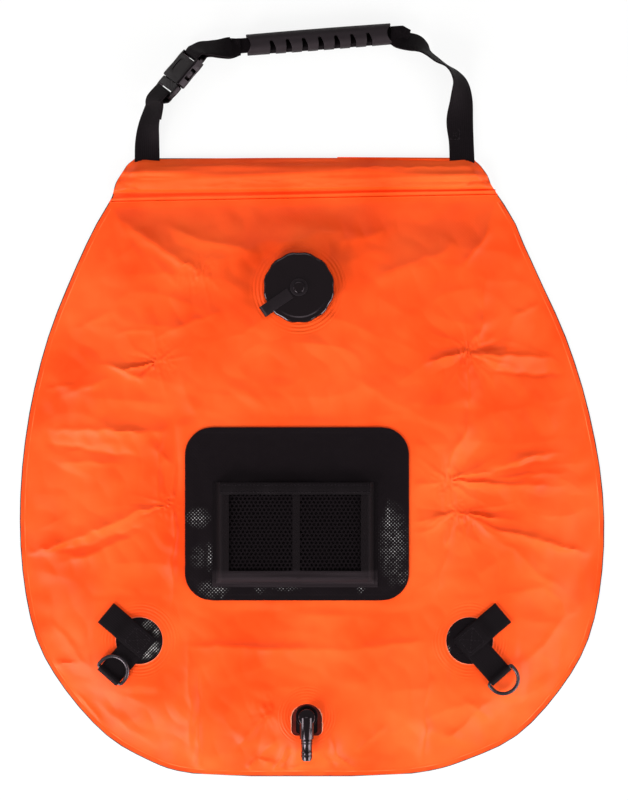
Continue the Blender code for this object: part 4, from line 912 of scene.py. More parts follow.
def makeFilm(material):
    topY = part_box("front_panel")[1].y + film["topSpare"]
    points = edgePoints()
    inward = np.array(film["middle"]) - points
    inner = points + inward / np.linalg.norm(inward, axis=1)[:, None] * film["edgeInset"]
    left, right = sideLines(inner)
    edge = np.vstack([[left(topY), topY], inner[inner[:, 1] < topY], [right(topY), topY]])
    piece, i, j = gridPiece("bagFront", film["columns"], film["rows"])
    bottomY = inner[:, 1].min()
    y = bottomY + (topY - bottomY) * spread(film["rows"], film["crowdUp"])[j]
    t = spread(film["columns"], film["crowdAcross"])[i]
    x = left(y) + (right(y) - left(y)) * t
    distance = nearest(x, y, edge)[1]
    z = filmHeight(x, y, distance)
    y = y + weldLift(x, smoothStep(0.180, topY, y)) + film["underHem"] * smoothStep(0.205, topY, y)
    start, end = left(y) - hemBulge(y, "left"), right(y) + hemBulge(y, "right")
    x = start + (end - start) * t
    movePoints(piece, np.column_stack([x, y, z]))
    # 1 at the edge, 0 from the reach inwards, and weaker along the hem
    closeness = np.clip(1 - distance / film["seamReach"], 0, 1)
    closeness *= 1 - 0.4 * smoothStep(0.0050, 0.0030, topY + weldLift(x, 1.0) - y)
    piece.data.attributes.new("seam", "FLOAT", "POINT").data.foreach_set("value", closeness)
    piece.data.attributes.new("rawEdge", "FLOAT", "POINT")
    openHoles(piece)
    applyModifier(piece, "SOLIDIFY", thickness=film["wallThick"], offset=-1, use_rim=True, use_rim_only=True)
    dress(piece, material, "bag", "orange_film", "front_panel", crease=50)
    print("front film laid", len(piece.data.polygons), "faces")


def makeShadeLedge(material):
    # The ledge is painted shade: a dark red ring where the window's walls lie in shadow
    piece = prism("windowShadeLedge", windowOutline(*shadeLedge["outer"]), shadeLedge["low"], shadeLedge["high"])
    cutAway(piece, prism("ledgeCutter", windowOutline(*shadeLedge["inner"]), *shadeLedge["cut"]))
    dress(piece, material, "bag", "orange_film")


setStage()
orange = makeCoatedFilm()
makeFilm(orange)
makeShadeLedge(makeShadeLedgeFilm())


# Back sheet

backSheet = {"thick": 0.0008, "relief": 0.0011, "seamAt": 0.0030, "seamDeep": 0.0003, "seamWide": 0.0008,
             "columns": 150, "rows": 160, "crowd": 0.3}


def crowded(share, amount):
    # Shares drawn towards both ends
    return share - amount * np.sin(2 * math.pi * share) / (2 * math.pi)


def makeBack(material):
    points = edgePoints()
    left, right = sideLines(points)
    bottomY, topY = points[:, 1].min(), points[:, 1].max()
    piece, i, j = gridPiece("bagBack", backSheet["columns"], backSheet["rows"])
    y = bottomY + (topY - bottomY) * crowded(j / backSheet["rows"], backSheet["crowd"])
    start, end = left(y) - hemBulge(y, "left"), right(y) + hemBulge(y, "right")
    x = start + (end - start) * crowded(i / backSheet["columns"], backSheet["crowd"])
    distance = nearest(x, y, points)[1]
    lift = 0.5 + 0.4 * smoothField(x, y, 0.070, 21) + 0.35 * np.abs(smoothField(x, y, 0.040, 5))
    loose = smoothStep(0.006, 0.05, distance) * smoothStep(0.208, 0.19, y)
    z = backSheet["relief"] * np.clip(lift, 0, 1.6) * loose
    z += backSheet["seamDeep"] * bump(distance, backSheet["seamAt"], backSheet["seamWide"])
    movePoints(piece, np.column_stack([x, y, z + backSheet["thick"]]))
    applyModifier(piece, "SOLIDIFY", thickness=backSheet["thick"], offset=-1)
    dress(piece, material, "bag", "black_sheet", "back_panel", crease=50)


makeBack(makeSheetPlastic())


# Hem

hem = {
    "halfSlot": 0.0103, "strapX": 0.12636, "step": 0.0015, "endRun": 0.0095, "endX": 0.152, "thick": 0.0007,
    "inset": 0.0006, "flatZ": 0.0019, "lowZ": 0.00145, "archHalf": 0.112, "lean": 0.0012,
    # Way up the sleeve: y and z in millimetres, on the weld, the valley, the rod and the fold
    "profile": ((210.85, 1.9), (211.5, 2.5), (212.3, 1.5), (213.1, 2.5), (214.4, 3.2), (215.8, 3.7),
                (218.0, 2.9), (219.9, 2.2), (221.2, 2.7), (222.2, 4.7), (223.2, 6.2), (225.4, 7.0),
                (228.0, 7.8), (229.8, 8.6), (231.6, 9.5), (233.4, 10.1), (234.8, 10.1), (236.2, 9.5),
                (238.2, 8.5), (240.2, 7.5), (242.0, 6.1), (244.0, 4.7), (245.6, 3.5), (246.6, 2.6),
                (246.6, 1.8), (245.6, 1.45), (240.0, 1.45), (230.0, 1.45), (222.0, 1.45)),
}
rod = {"y": 0.2315, "z": 0.0052, "radius": 0.0031, "reach": 0.1335, "spare": 0.0002}
hemFolds = {
    "gain": 1.0,
    "ridges": (
        (-144, 227, -119, 219, 3, 3, -1.5), (121, 222, 137, 230, 3, 3, -1.5),
        (-150, 216, -132, 236, 4, 4, 1.2), (150, 218, 134, 238, 4, 4, 1.2),
        (-90, 226, 10, 229, 1.6, 1.6, 0.6), (-20, 224, 100, 227, 1.4, 1.6, 0.6),
        (30, 240, 118, 238, 1.6, 1.6, 0.7), (-118, 241, -40, 242, 1.6, 1.6, 0.6),
    ),
    "knots": (),
}


def makeHem(material):
    left, right = sideLines(edgePoints())
    rows = splineRows(hem["profile"], 3) / 1000
    end, strapX, half = hem["endX"], hem["strapX"], hem["halfSlot"]
    inner, outer = strapX - half, strapX + half
    columns = np.concatenate([[-1.0], breaks((-end, -outer, -inner, inner, outer, end), hem["step"]), [1.0]])
    piece, i, j = gridPiece("hemSleeve", len(columns) - 1, len(rows) - 1)
    x, (y, z) = columns[i], rows[j].T
    askew = weldLift(x.clip(-0.158, 0.158), smoothStep(0.2235, 0.2112, y) * (z > hem["lowZ"] + 0.00001))
    low = left(y + askew) + hem["inset"] - hemBulge(y + askew, "left")
    high = right(y + askew) - hem["inset"] + hemBulge(y + askew, "right")
    # Columns beyond the straight edge slide out to the slanting ends
    x = np.where(x > outer, outer + (x - outer) * (high - outer) / (end - outer), x)
    x = np.where(x < -outer, -outer + (x + outer) * (low + outer) / (outer - end), x)
    x = np.clip(x, low, high)
    # Diagonal folds near both corners, a slack wave along the rod and a top edge that arches
    flatZ = hem["flatZ"]
    full = smoothStep(0.0, hem["endRun"], np.minimum(x - low, high - x))
    top = np.clip((z - flatZ) / 0.003, 0, 1)
    slack = 0.0002 * np.sin(x * 40 + 1.0)
    slack += 0.0005 * smoothField(x * 0.08, y, 0.0075, 63) * smoothStep(0.2135, 0.2180, y)
    relief = foldRelief(x, y, hemFolds) * smoothStep(0.2135, 0.2200, y)
    z = np.where(z > flatZ, flatZ + (z - flatZ) * (0.30 + 0.70 * full) + (slack + relief) * top, z)
    arch = 0.0010 * (1 - (x / hem["archHalf"]) ** 2) * (np.abs(x) < hem["archHalf"])
    arch += 0.0008 * bump(np.abs(x), 0.128, 0.007)
    lean = hem["lean"] * x / 0.15 * smoothStep(0.2112, 0.2150, y) * smoothStep(0.2320, 0.2240, y)
    sway = 0.0006 * np.sin(x * 26 + 0.6) * bump(y, 0.2290, 0.008)
    y = y + arch * smoothStep(0.2300, 0.2440, y) + sway + lean + askew
    # The film rests on the rod, never below it
    beside = np.clip(1 - ((y - rod["y"]) / rod["radius"]) ** 2, 0, 1)
    onRod = rod["z"] + rod["radius"] * np.sqrt(beside) + hem["thick"] + rod["spare"]
    onRod *= (beside > 0) * (np.abs(x) < rod["reach"])
    z = np.where(z > 0.0030, np.maximum(z, onRod), z)
    movePoints(piece, np.column_stack([x, y, np.maximum(z, hem["lowZ"])]))
    # Slots for the straps in the folded edge
    x, y, z = readPlaces(piece.data.polygons, "center").T
    deleteFaces(piece, (y > 0.2442) & (z > 0.0016) & (z < 0.0040) & (np.abs(np.abs(x) - strapX) < half))
    applyModifier(piece, "SOLIDIFY", thickness=hem["thick"], offset=-1)
    dress(piece, material, "bag", "orange_film", "hem_sleeve", crease=50)


makeHem(orange)
print("hem and back sheet laid")


# Moulded parts

blackPlastic = makeMoulded("mouldedPolypropylene", "#0A0607", 0.14, 0.0009, 0.03, 0.50)
dullPlastic = makeMoulded("mouldedAcetal", "#080607", 0.32, 0.0009, 0.05, 0.16)
tetherRubber = makeMoulded("softTetherRubber", "#130F11", 0.50, 0.0006, 0.20, 0.20)
blackRubber = makeMoulded("mouldedRubber", "#1A1618", 0.50, 0.0005, 0.25)
ringPlastic = makeMoulded("mouldedNylon", "#201E20", 0.26, 0.0009, 0.08, 0.5)
rodPlastic = makeMoulded("extrudedRod", "#CFCDC6", 0.45, 0.0015, 0.10, 0.4)

cap = {
    "at": (-0.0044, 0.1427), "low": 0.0160, "top": 0.0305, "radius": 0.0284, "flutes": 12,
    "fluteRadius": 0.0052, "fluteDeep": 0.0007, "inside": 0.0246, "ceiling": 0.0280, "edge": 0.0020,
    "dish": 0.0004, "stem": 0.0030, "head": 0.0044, "headLow": 0.0325, "headTop": 0.0338, "sunk": 0.0012,
    "columns": 288,
}


def makeCap(material):
    # Rings of radius, height and share of the flutes, from the middle of the top round to the ceiling inside
    edge, radius, low, top = cap["edge"], cap["radius"], cap["low"], cap["top"]
    dish, inside, ceiling = cap["dish"], cap["inside"], cap["ceiling"]
    rings = [(0.0, top - dish, 0), (0.010, top - dish, 0), (radius - 0.0062, top - dish, 0),
             (radius - 0.0052, top - dish * 0.8, 0), (radius - 0.0044, top - dish * 0.2, 0.1),
             (radius - 0.0036, top, 0.2), (radius - edge - 0.0006, top, 0.7)]
    rings += [(radius - edge + edge * math.sin(a), top - edge + edge * math.cos(a), 0.8 + 0.2 * math.sin(a))
              for a in [math.radians(15 * k) for k in range(7)]]
    rings += [(radius, (low + top) / 2, 1), (radius, low + 0.0010, 1), (radius - 0.0001, low + 0.0004, 1),
              (radius - 0.0005, low, 1), (inside + 0.0004, low, 0), (inside, low + 0.0004, 0),
              (inside, ceiling - 0.0006, 0), (inside - 0.0006, ceiling, 0), (0.008, ceiling, 0),
              (0.0, ceiling, 0)]
    piece, i, j = gridPiece("fillerCap", cap["columns"], len(rings) - 1)
    ring, turn, step = np.array(rings)[j], 2 * math.pi * (i / cap["columns"]), 2 * math.pi / cap["flutes"]
    share = np.abs((turn + step / 2) % step - step / 2) / math.asin(cap["fluteRadius"] / radius)
    reach = ring[:, 0] - ring[:, 2] * (cap["fluteDeep"] * np.clip(1 - share ** 2, 0, 1) ** 1.4)
    movePoints(piece, np.column_stack([reach * np.cos(turn), reach * np.sin(turn), ring[:, 1]]))
    mergeDoubles(piece, 0.00001)
    closeEnds(piece)
    foot = top - cap["sunk"]
    head = rounded(((0.0, cap["headTop"]), (cap["head"], cap["headTop"]), (cap["head"], cap["headLow"]),
                    (cap["stem"], cap["headLow"]), (cap["stem"], foot), (0.0, foot)), 0.0007, 3, skip=(0, 5))
    piece = joinPieces("fillerCap", [piece, spun("capBoss", head, 40)])
    piece.data.transform(Matrix.Translation((*cap["at"], 0)))
    dress(piece, material, "cap", "black_plastic", "filler_cap", crease=35)


makeCap(blackPlastic)

neck = {"radius": 0.0226, "bore": 0.0195, "top": 0.0259, "flange": 0.036, "flangeLow": 0.0119,
        "flangeTop": 0.0129, "droop": 0.0030, "threadTurns": 2.0, "threadPitch": 0.0034,
        "threadStart": 0.0172, "threadDeep": 0.0009, "threadFoot": 0.0010, "threadCrest": 0.0004,
        "threadSunk": 0.0002, "stepsInTurn": 72, "fadeSteps": 10}


def makeNeck(material):
    radius, bore, low, high = neck["radius"], neck["bore"], neck["flangeLow"], neck["flangeTop"]
    flange, droop = neck["flange"], neck["droop"]
    profile = ((bore, low), (radius, low), (flange, low - droop), (flange, high - droop), (radius, high),
               (radius, neck["top"]), (bore, neck["top"]))
    body = spun("fillerNeck", rounded(profile, 0.0006, 3), 96)
    count = int(neck["stepsInTurn"] * neck["threadTurns"])
    centres, sides, ups = [], [], []
    for k in range(count + 1):
        turn = 2 * math.pi * k / neck["stepsInTurn"]
        height = neck["threadStart"] + neck["threadPitch"] * k / neck["stepsInTurn"]
        grow = min(1.0, k / neck["fadeSteps"], (count - k) / neck["fadeSteps"]) * 0.96 + 0.04
        out = Vector((math.cos(turn), math.sin(turn), 0))
        centres.append(out * (radius - neck["threadSunk"]) + Vector((0, 0, height)))
        sides.append(Vector((0, 0, 1)) * grow)
        ups.append(out * grow)
    foot, crest, deep = neck["threadFoot"], neck["threadCrest"], neck["threadDeep"]
    ridge = swept("neckThread", centres, sides, ups, ((-foot, 0.0), (-crest, deep), (crest, deep), (foot, 0.0)))
    piece = joinPieces("fillerNeck", [body, ridge])
    piece.data.transform(Matrix.Translation((*cap["at"], 0)))
    dress(piece, material, "bag", "black_plastic", "filler_neck", crease=35)


makeNeck(blackPlastic)

tether = {"angle": -146.0, "width": 0.009, "thick": 0.0012, "collarOut": 0.0268, "collarIn": 0.0229,
          "eyeOut": 0.007, "eyeIn": 0.0033, "collarZ": 0.0150, "eyeZ": 0.0315, "reach": 0.0352,
          "bend": 0.0022, "ringThick": 0.0014, "start": 0.0240, "corner": 0.0004}


def makeTether(material):
    half, bend, corner = tether["ringThick"] / 2, tether["bend"], tether["corner"]
    collarZ, eyeZ = tether["collarZ"], tether["eyeZ"]
    pieces = []
    for name, z in (("collar", collarZ), ("eye", eyeZ)):
        profile = rectangle(tether[name + "In"], tether[name + "Out"], z - half, z + half)
        pieces.append(spun(name, rounded(profile, corner, 2), 80))
    turnX = tether["reach"] - tether["thick"] / 2 - bend
    path = [(tether["start"] + 0.0014 * k, collarZ) for k in range(5)]
    path += arc((turnX, collarZ + bend), bend, -90, 0, 8)
    path += [(turnX + bend, collarZ + bend + 0.0028 * k) for k in range(1, 4)]
    path += arc((turnX, eyeZ - bend), bend, 0, 90, 8)
    path += [(turnX - 0.004 * k, eyeZ) for k in range(1, 7)]
    w, t = tether["width"] / 2, tether["thick"] / 2
    centres, sides = [Vector((x, 0, z)) for x, z in path], [Vector((0, 1, 0))] * len(path)
    pieces.append(ribbon("strap", centres, sides, rounded(rectangle(-w, w, -t, t), corner, 2)))
    piece = joinPieces("capTether", pieces)
    turned = Matrix.Rotation(math.radians(tether["angle"]), 4, "Z")
    piece.data.transform(Matrix.Translation((*cap["at"], 0)) @ turned)
    dress(piece, material, None, "black_rubber", "cap_tether")
    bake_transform(piece)


makeTether(tetherRubber)
print("filler made")


# Outlet

outlet = {
    "at": (0.0018, -0.1996), "axisZ": 0.0202, "flange": 0.0155, "flangeLow": 0.0119, "flangeTop": 0.0129,
    "boss": 0.0085, "bossFillet": 0.0005, "bossTop": 0.0140, "socket": 0.0064, "socketLow": 0.0070,
    # Along the spout from its closed back: distance and radius in millimetres
    "body": ((-0.8, 0.0), (-0.8, 4.6), (-0.6, 5.3), (-0.1, 5.7), (0.6, 5.8), (8.0, 5.75), (16.8, 5.6),
             (17.4, 5.4), (17.6, 4.9), (17.65, 4.5), (18.4, 4.45), (18.9, 4.7), (19.4, 4.7), (19.9, 4.4),
             (20.6, 4.35), (21.0, 4.6), (21.5, 4.6), (22.0, 4.3), (27.2, 4.2), (27.6, 4.55), (28.3, 4.6),
             (29.0, 4.45), (30.2, 4.3), (30.6, 4.55), (31.3, 4.55), (33.0, 4.2), (34.5, 3.7), (35.0, 3.0),
             (35.0, 2.05), (24.0, 2.0), (12.0, 2.0), (11.9, 0.0)),
    # Down the stub, with the groove for its seal: radius and height in millimetres
    "stub": ((0.0, 7.6), (6.1, 7.6), (6.1, 8.8), (5.2, 8.8), (5.2, 10.6), (6.1, 10.6), (6.1, 14.4),
             (6.6, 15.0), (6.6, 24.4), (0.0, 24.4)),
}


def makeOutlet(material, baseMaterial):
    x, y = outlet["at"]
    place = Matrix.Translation((x, y, 0))
    boss, socket, flange = outlet["boss"], outlet["socket"], outlet["flange"]
    low, high = outlet["flangeLow"], outlet["flangeTop"]
    profile = ((socket, outlet["socketLow"]), (boss, outlet["socketLow"]), (boss, low), (flange, low),
               (flange, high), (boss + outlet["bossFillet"], high), (boss, outlet["bossTop"]),
               (socket, outlet["bossTop"]))
    base = spun("outletBase", rounded(profile, 0.0004, 2), 72)
    base.data.transform(place)
    dress(base, baseMaterial, "bag", "black_plastic", "outlet_flange", crease=35)

    spout = spun("outletSpout", [(r / 1000, d / 1000) for d, r in outlet["body"]], 64)
    lay = Matrix.Translation((x, y, outlet["axisZ"])) @ Matrix.Rotation(math.radians(90), 4, "X")
    spout.data.transform(lay)
    outline = rounded([(r / 1000, z / 1000) for r, z in outlet["stub"]], 0.0005, 3, skip=(0, 9))
    stub = spun("spoutStub", outline, 48)
    stub.data.transform(place)
    piece = joinPieces("outletSpout", [spout, stub])
    dress(piece, material, "spout", "black_plastic", "outlet_spout", crease=35)


makeOutlet(blackPlastic, dullPlastic)
print("outlet made")


# Panel and pocket

# Where the scrim's painted highlights lie: x, y, half width and half height in millimetres, level
glintSpots = ((-85, -41, 12, 10, 0.8), (-76, -72, 3.4, 14, 1.0), (-84, -72, 9, 12, 0.3),
              (-73, -98, 15, 9, 0.55), (-66, -99, 1.8, 9, 1.1), (-35, -97, 6, 6, 0.5),
              (-14, -96, 15, 5, 0.45), (45, -97, 4, 5.5, 0.7), (71, -62, 14, 38, 0.6),
              (67, -44, 3.4, 20, 1.1), (78, -88, 8, 10, 0.35))
patchGlintSpots = ((-124, -126.5, 7, 5, 1.0), (-118.5, -132, 4, 6, 1.0), (-120.5, -145, 8, 7, 1.0),
              (-127, -150.5, 8, 4.5, 1.0), (114.8, -131, 2.2, 6, 0.8), (115.2, -147, 2.4, 5, 0.8))
# The pale thread colours are the painted highlight of the crossings
scrimVinyl = makeScrim("laminatedScrim", "#0C080A", "#DEDCDC", 0.30, 0.0020, 1.0, glintSpots)
patchVinyl = makeScrim("laminatedPatch", "#0E0A0C", "#E8E6E2", 0.28, 0.0018, 0.45, patchGlintSpots)
webbing = makeWebbing("wovenWebbing", 0.0010, "#050304", "#0F0B0D", 0.35)
binding = makeWebbing("foldedBinding", 0.0007, "#070506", "#0C090A", 0.10)

panel = {"at": (-0.006, -0.0378), "width": 0.179, "height": 0.1384, "corner": 0.022, "low": 0.0143,
         "thick": 0.0007, "weldBand": 0.0035, "weldDeep": 0.00025, "weldWide": 0.0006, "wave": 0.00035,
         "waveLong": 0.032, "columns": 130, "rows": 110, "crowd": 0.30}


def makePanel(material):
    width, height, corner = panel["width"], panel["height"], panel["corner"]
    piece, i, j = gridPiece("pocketPanel", panel["columns"], panel["rows"])
    y = (crowded(j / panel["rows"], panel["crowd"]) - 0.5) * height
    # Rows shorten where the corners are round
    over = (np.abs(y) - (height / 2 - corner)) / corner
    reach = width / 2 - corner + corner * np.sqrt(np.clip(1 - over ** 2, 0, 1))
    x = (i / panel["columns"] - 0.5) * 2 * np.where(over > 0, reach, width / 2)
    edge = np.minimum(width / 2 - np.abs(x), height / 2 - np.abs(y))
    z = panel["low"] + panel["thick"]
    z += panel["wave"] * smoothStep(0.004, 0.012, edge) * smoothField(x, y, panel["waveLong"], 31)
    z -= panel["weldDeep"] * bump(edge, panel["weldBand"], panel["weldWide"])
    movePoints(piece, np.column_stack([x + panel["at"][0], y + panel["at"][1], z]))
    applyModifier(piece, "SOLIDIFY", thickness=panel["thick"], offset=-1)
    dress(piece, material, "bag", "black_scrim", "pocket_backing", crease=50)


makePanel(scrimVinyl)

pocket = {
    "at": (-0.0076, -0.0529), "width": 0.126, "height": 0.081, "top": 0.0228, "foot": 0.0153, "flange": 0.003,
    "slope": 0.0042, "band": 0.0104, "lip": 0.0096, "divider": 0.006, "dividerX": -0.0066, "wall": 0.0007,
    "step": 0.0016, "sag": 0.0006, "dividerSag": 0.0003,
}


def makePocket(material):
    cx, cy = pocket["at"]
    halfW, halfH = pocket["width"] / 2, pocket["height"] / 2
    foot, band, slope = pocket["flange"], pocket["band"], pocket["slope"]
    middle, half = pocket["dividerX"] - cx, pocket["divider"] / 2
    # Marks from each outer edge inwards: flange, foot, middle and top of the slope, inner edge of the band
    leftMarks = (-halfW - foot, -halfW, -halfW + slope / 2, -halfW + slope, -halfW + band)
    lowMarks = (-halfH - foot, -halfH, -halfH + slope / 2, -halfH + slope, -halfH + band)
    rightMarks = tuple(-mark for mark in reversed(leftMarks))
    columns = breaks((*leftMarks, middle - half, middle + half, *rightMarks), pocket["step"])
    rows = breaks((*lowMarks, halfH - pocket["lip"], halfH), pocket["step"])
    piece, i, j = gridPiece("pocketBands", len(columns) - 1, len(rows) - 1)
    x, y = columns[i], rows[j]
    near = np.minimum(halfW - np.abs(x), y + halfH)
    share = np.clip(near / slope, 0, 1)
    base = pocket["foot"] + pocket["wall"]
    z = base + (pocket["top"] - base) * np.sin(share * math.pi / 2) ** 0.9
    sag = pocket["sag"] * np.sin((x + halfW) * 70) * np.clip(near / 0.01, 0, 1)
    sag -= pocket["dividerSag"] * bump(x, middle, 0.03)
    z = z + sag * share * np.clip((near - slope) / 0.004, 0, 1)
    movePoints(piece, np.column_stack([x + cx, y + cy, z]))
    # The two windows
    x, y, z = readPlaces(piece.data.polygons, "center").T
    inside = (y > cy - halfH + band) & (y < cy + halfH - pocket["lip"]) & (np.abs(x - cx) < halfW - band)
    deleteFaces(piece, inside & (np.abs(x - cx - middle) > half))
    applyModifier(piece, "SOLIDIFY", thickness=pocket["wall"], offset=-1)
    dress(piece, material, "bag", "black_scrim", "pocket_frame", crease=50)


makePocket(makeBandVinyl())

net = {"pitch": 0.0034, "strand": 0.0011, "thick": 0.0005, "z": 0.0218, "sag": 0.0014, "merge": 0.0001}


def makeNet(name, node, material):
    # One cell of knitted mesh, a hexagon with a round hole, repeated in rows that step by half a cell
    low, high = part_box(node)
    pitch = net["pitch"]
    rowStep = pitch * math.sqrt(3) / 2
    rows = int((high.y - low.y) / rowStep) + 3
    columns = int((high.x - low.x) / pitch) + rows // 2 + 4
    cell = []
    for k in range(12):
        reach = pitch / math.sqrt(3) if k % 2 == 0 else pitch / 2
        turn = math.radians(30 * k + 30)
        cell.append((reach * math.cos(turn), reach * math.sin(turn), 0))
    piece = outlinePiece(name, cell, "NGON")
    editMesh(piece, selectAll, lambda: bpy.ops.mesh.inset(thickness=net["strand"] / 2, depth=0),
             lambda: bpy.ops.mesh.delete(type="FACE"))
    hole = (pitch - net["strand"]) / 2
    for vertex in piece.data.vertices:
        if vertex.co.length < pitch / 2 - net["strand"] * 0.25:
            vertex.co = vertex.co.normalized() * hole
    for count, hop in ((columns, (pitch, 0, 0)), (rows, (-pitch / 2, rowStep, 0))):
        applyModifier(piece, "ARRAY", count=count, use_relative_offset=False, use_constant_offset=True,
                      constant_offset_displace=hop, use_merge_vertices=True, merge_threshold=net["merge"])
    piece.data.transform(Matrix.Translation((low.x - pitch, low.y - rowStep * 0.6, 0)))
    for point, way in (((low.x, 0, 0), (-1, 0, 0)), ((high.x, 0, 0), (1, 0, 0)),
                       ((0, low.y, 0), (0, -1, 0)), ((0, high.y, 0), (0, 1, 0))):
        editMesh(piece, selectAll, lambda: bpy.ops.mesh.bisect(plane_co=point, plane_no=way, clear_outer=True))
    middle = (low + high) / 2
    for vertex in piece.data.vertices:
        share = 1 - min(1, abs(vertex.co.x - middle.x) / (high.x - middle.x)) ** 2
        up = 1 - min(1, abs(vertex.co.y - middle.y) / (high.y - middle.y)) ** 2
        vertex.co.z = net["z"] - net["sag"] * share * up
    applyModifier(piece, "SOLIDIFY", thickness=net["thick"], offset=-1)
    dress(piece, material, "bag", "black_mesh", node)


meshYarn = makeMesh()
makeNet("meshLeft", "pocket_net_left", meshYarn)
makeNet("meshRight", "pocket_net_right", meshYarn)
print("pocket made")


# Webbing

strap = {"width": 0.020, "thick": 0.0014, "edge": 0.0004}
pocketLip = {"rise": 0.0018, "inset": 0.0030, "thick": 0.0012, "width": 0.0096, "corner": 0.0004, "steps": 64}


def layWebbing(name, path, sides):
    # Sides reach to the edge of the webbing; extra points across let it cup
    half = strap["width"] / 2
    corners = rounded(rectangle(-half, half, -strap["thick"] / 2, strap["thick"] / 2), strap["edge"], 2)
    section = []
    for i, point in enumerate(corners):
        section.append(point)
        gap = corners[(i + 1) % len(corners)][0] - point[0]
        if abs(gap) > half:
            section += [(point[0] + gap * k / 5, point[1]) for k in range(1, 5)]
    return ribbon(name, [Vector(place) for place in path], [Vector(side) / half for side in sides], section)


def lipPlace(across):
    # Middle of the lip's underside, across from -1 to 1, and its slope
    low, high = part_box("pocket_lip")
    reach = pocket["width"] / 2 - pocketLip["inset"]
    swell = math.sin(math.pi * 2 * across) ** 2
    slope = pocketLip["rise"] * 2 * math.pi / reach * math.sin(4 * math.pi * across)
    x, y = pocket["at"][0] + reach * across, (low.y + high.y) / 2
    return Vector((x, y, low.z + pocketLip["rise"] * swell)), slope


def makeLip(material):
    w, t, steps = pocketLip["width"] / 2, pocketLip["thick"] / 2, pocketLip["steps"]
    section = rounded(rectangle(-w, w, -t, t), pocketLip["corner"], 2)
    centres = [lipPlace(2 * k / steps - 1)[0] + Vector((0, 0, t)) for k in range(steps + 1)]
    piece = ribbon("pocketLip", centres, [Vector((0, 1, 0))] * len(centres), [(x, -y) for x, y in section])
    dress(piece, material, "bag", "black_webbing", "pocket_lip")


makeLip(binding)

tabs = {
    "hubX": 0.132, "hubY": -0.1392, "top": 0.0140, "gap": 0.0003, "patch": 0.030, "patchFlat": 0.0200,
    "droop": 0.0032, "stripReach": 0.035, "stripInset": 0.009, "stripRamp": 0.009, "stripClear": 0.0125,
    "stripAngle": 40.0, "loopReach": 0.0392, "loopInset": 0.008, "loopClose": 0.007, "loopAngle": -48.5,
    "wire": 0.0015, "sideGap": 0.0004, "leg": 0.0045, "corner": 0.0016, "lieOut": 5.9, "lieBack": 10.0,
}


def evenPath(points, step):
    # Evenly spaced places along a way of straight stretches
    points = [Vector(p) for p in points]
    run = [0.0]
    for a, b in zip(points, points[1:]):
        run.append(run[-1] + (b - a).length)
    count = max(2, int(run[-1] / step))
    out = []
    for k in range(count + 1):
        at = run[-1] * k / count
        i = min(max(j for j in range(len(run)) if run[j] <= at + 1e-9), len(points) - 2)
        out.append(points[i].lerp(points[i + 1], (at - run[i]) / (run[i + 1] - run[i])))
    return out


def tabWay(sign, angle):
    turn = math.radians(angle)
    return Vector((sign * math.cos(turn), math.sin(turn), 0))


def leftOf(way):
    return Vector((-way.y, way.x, 0))


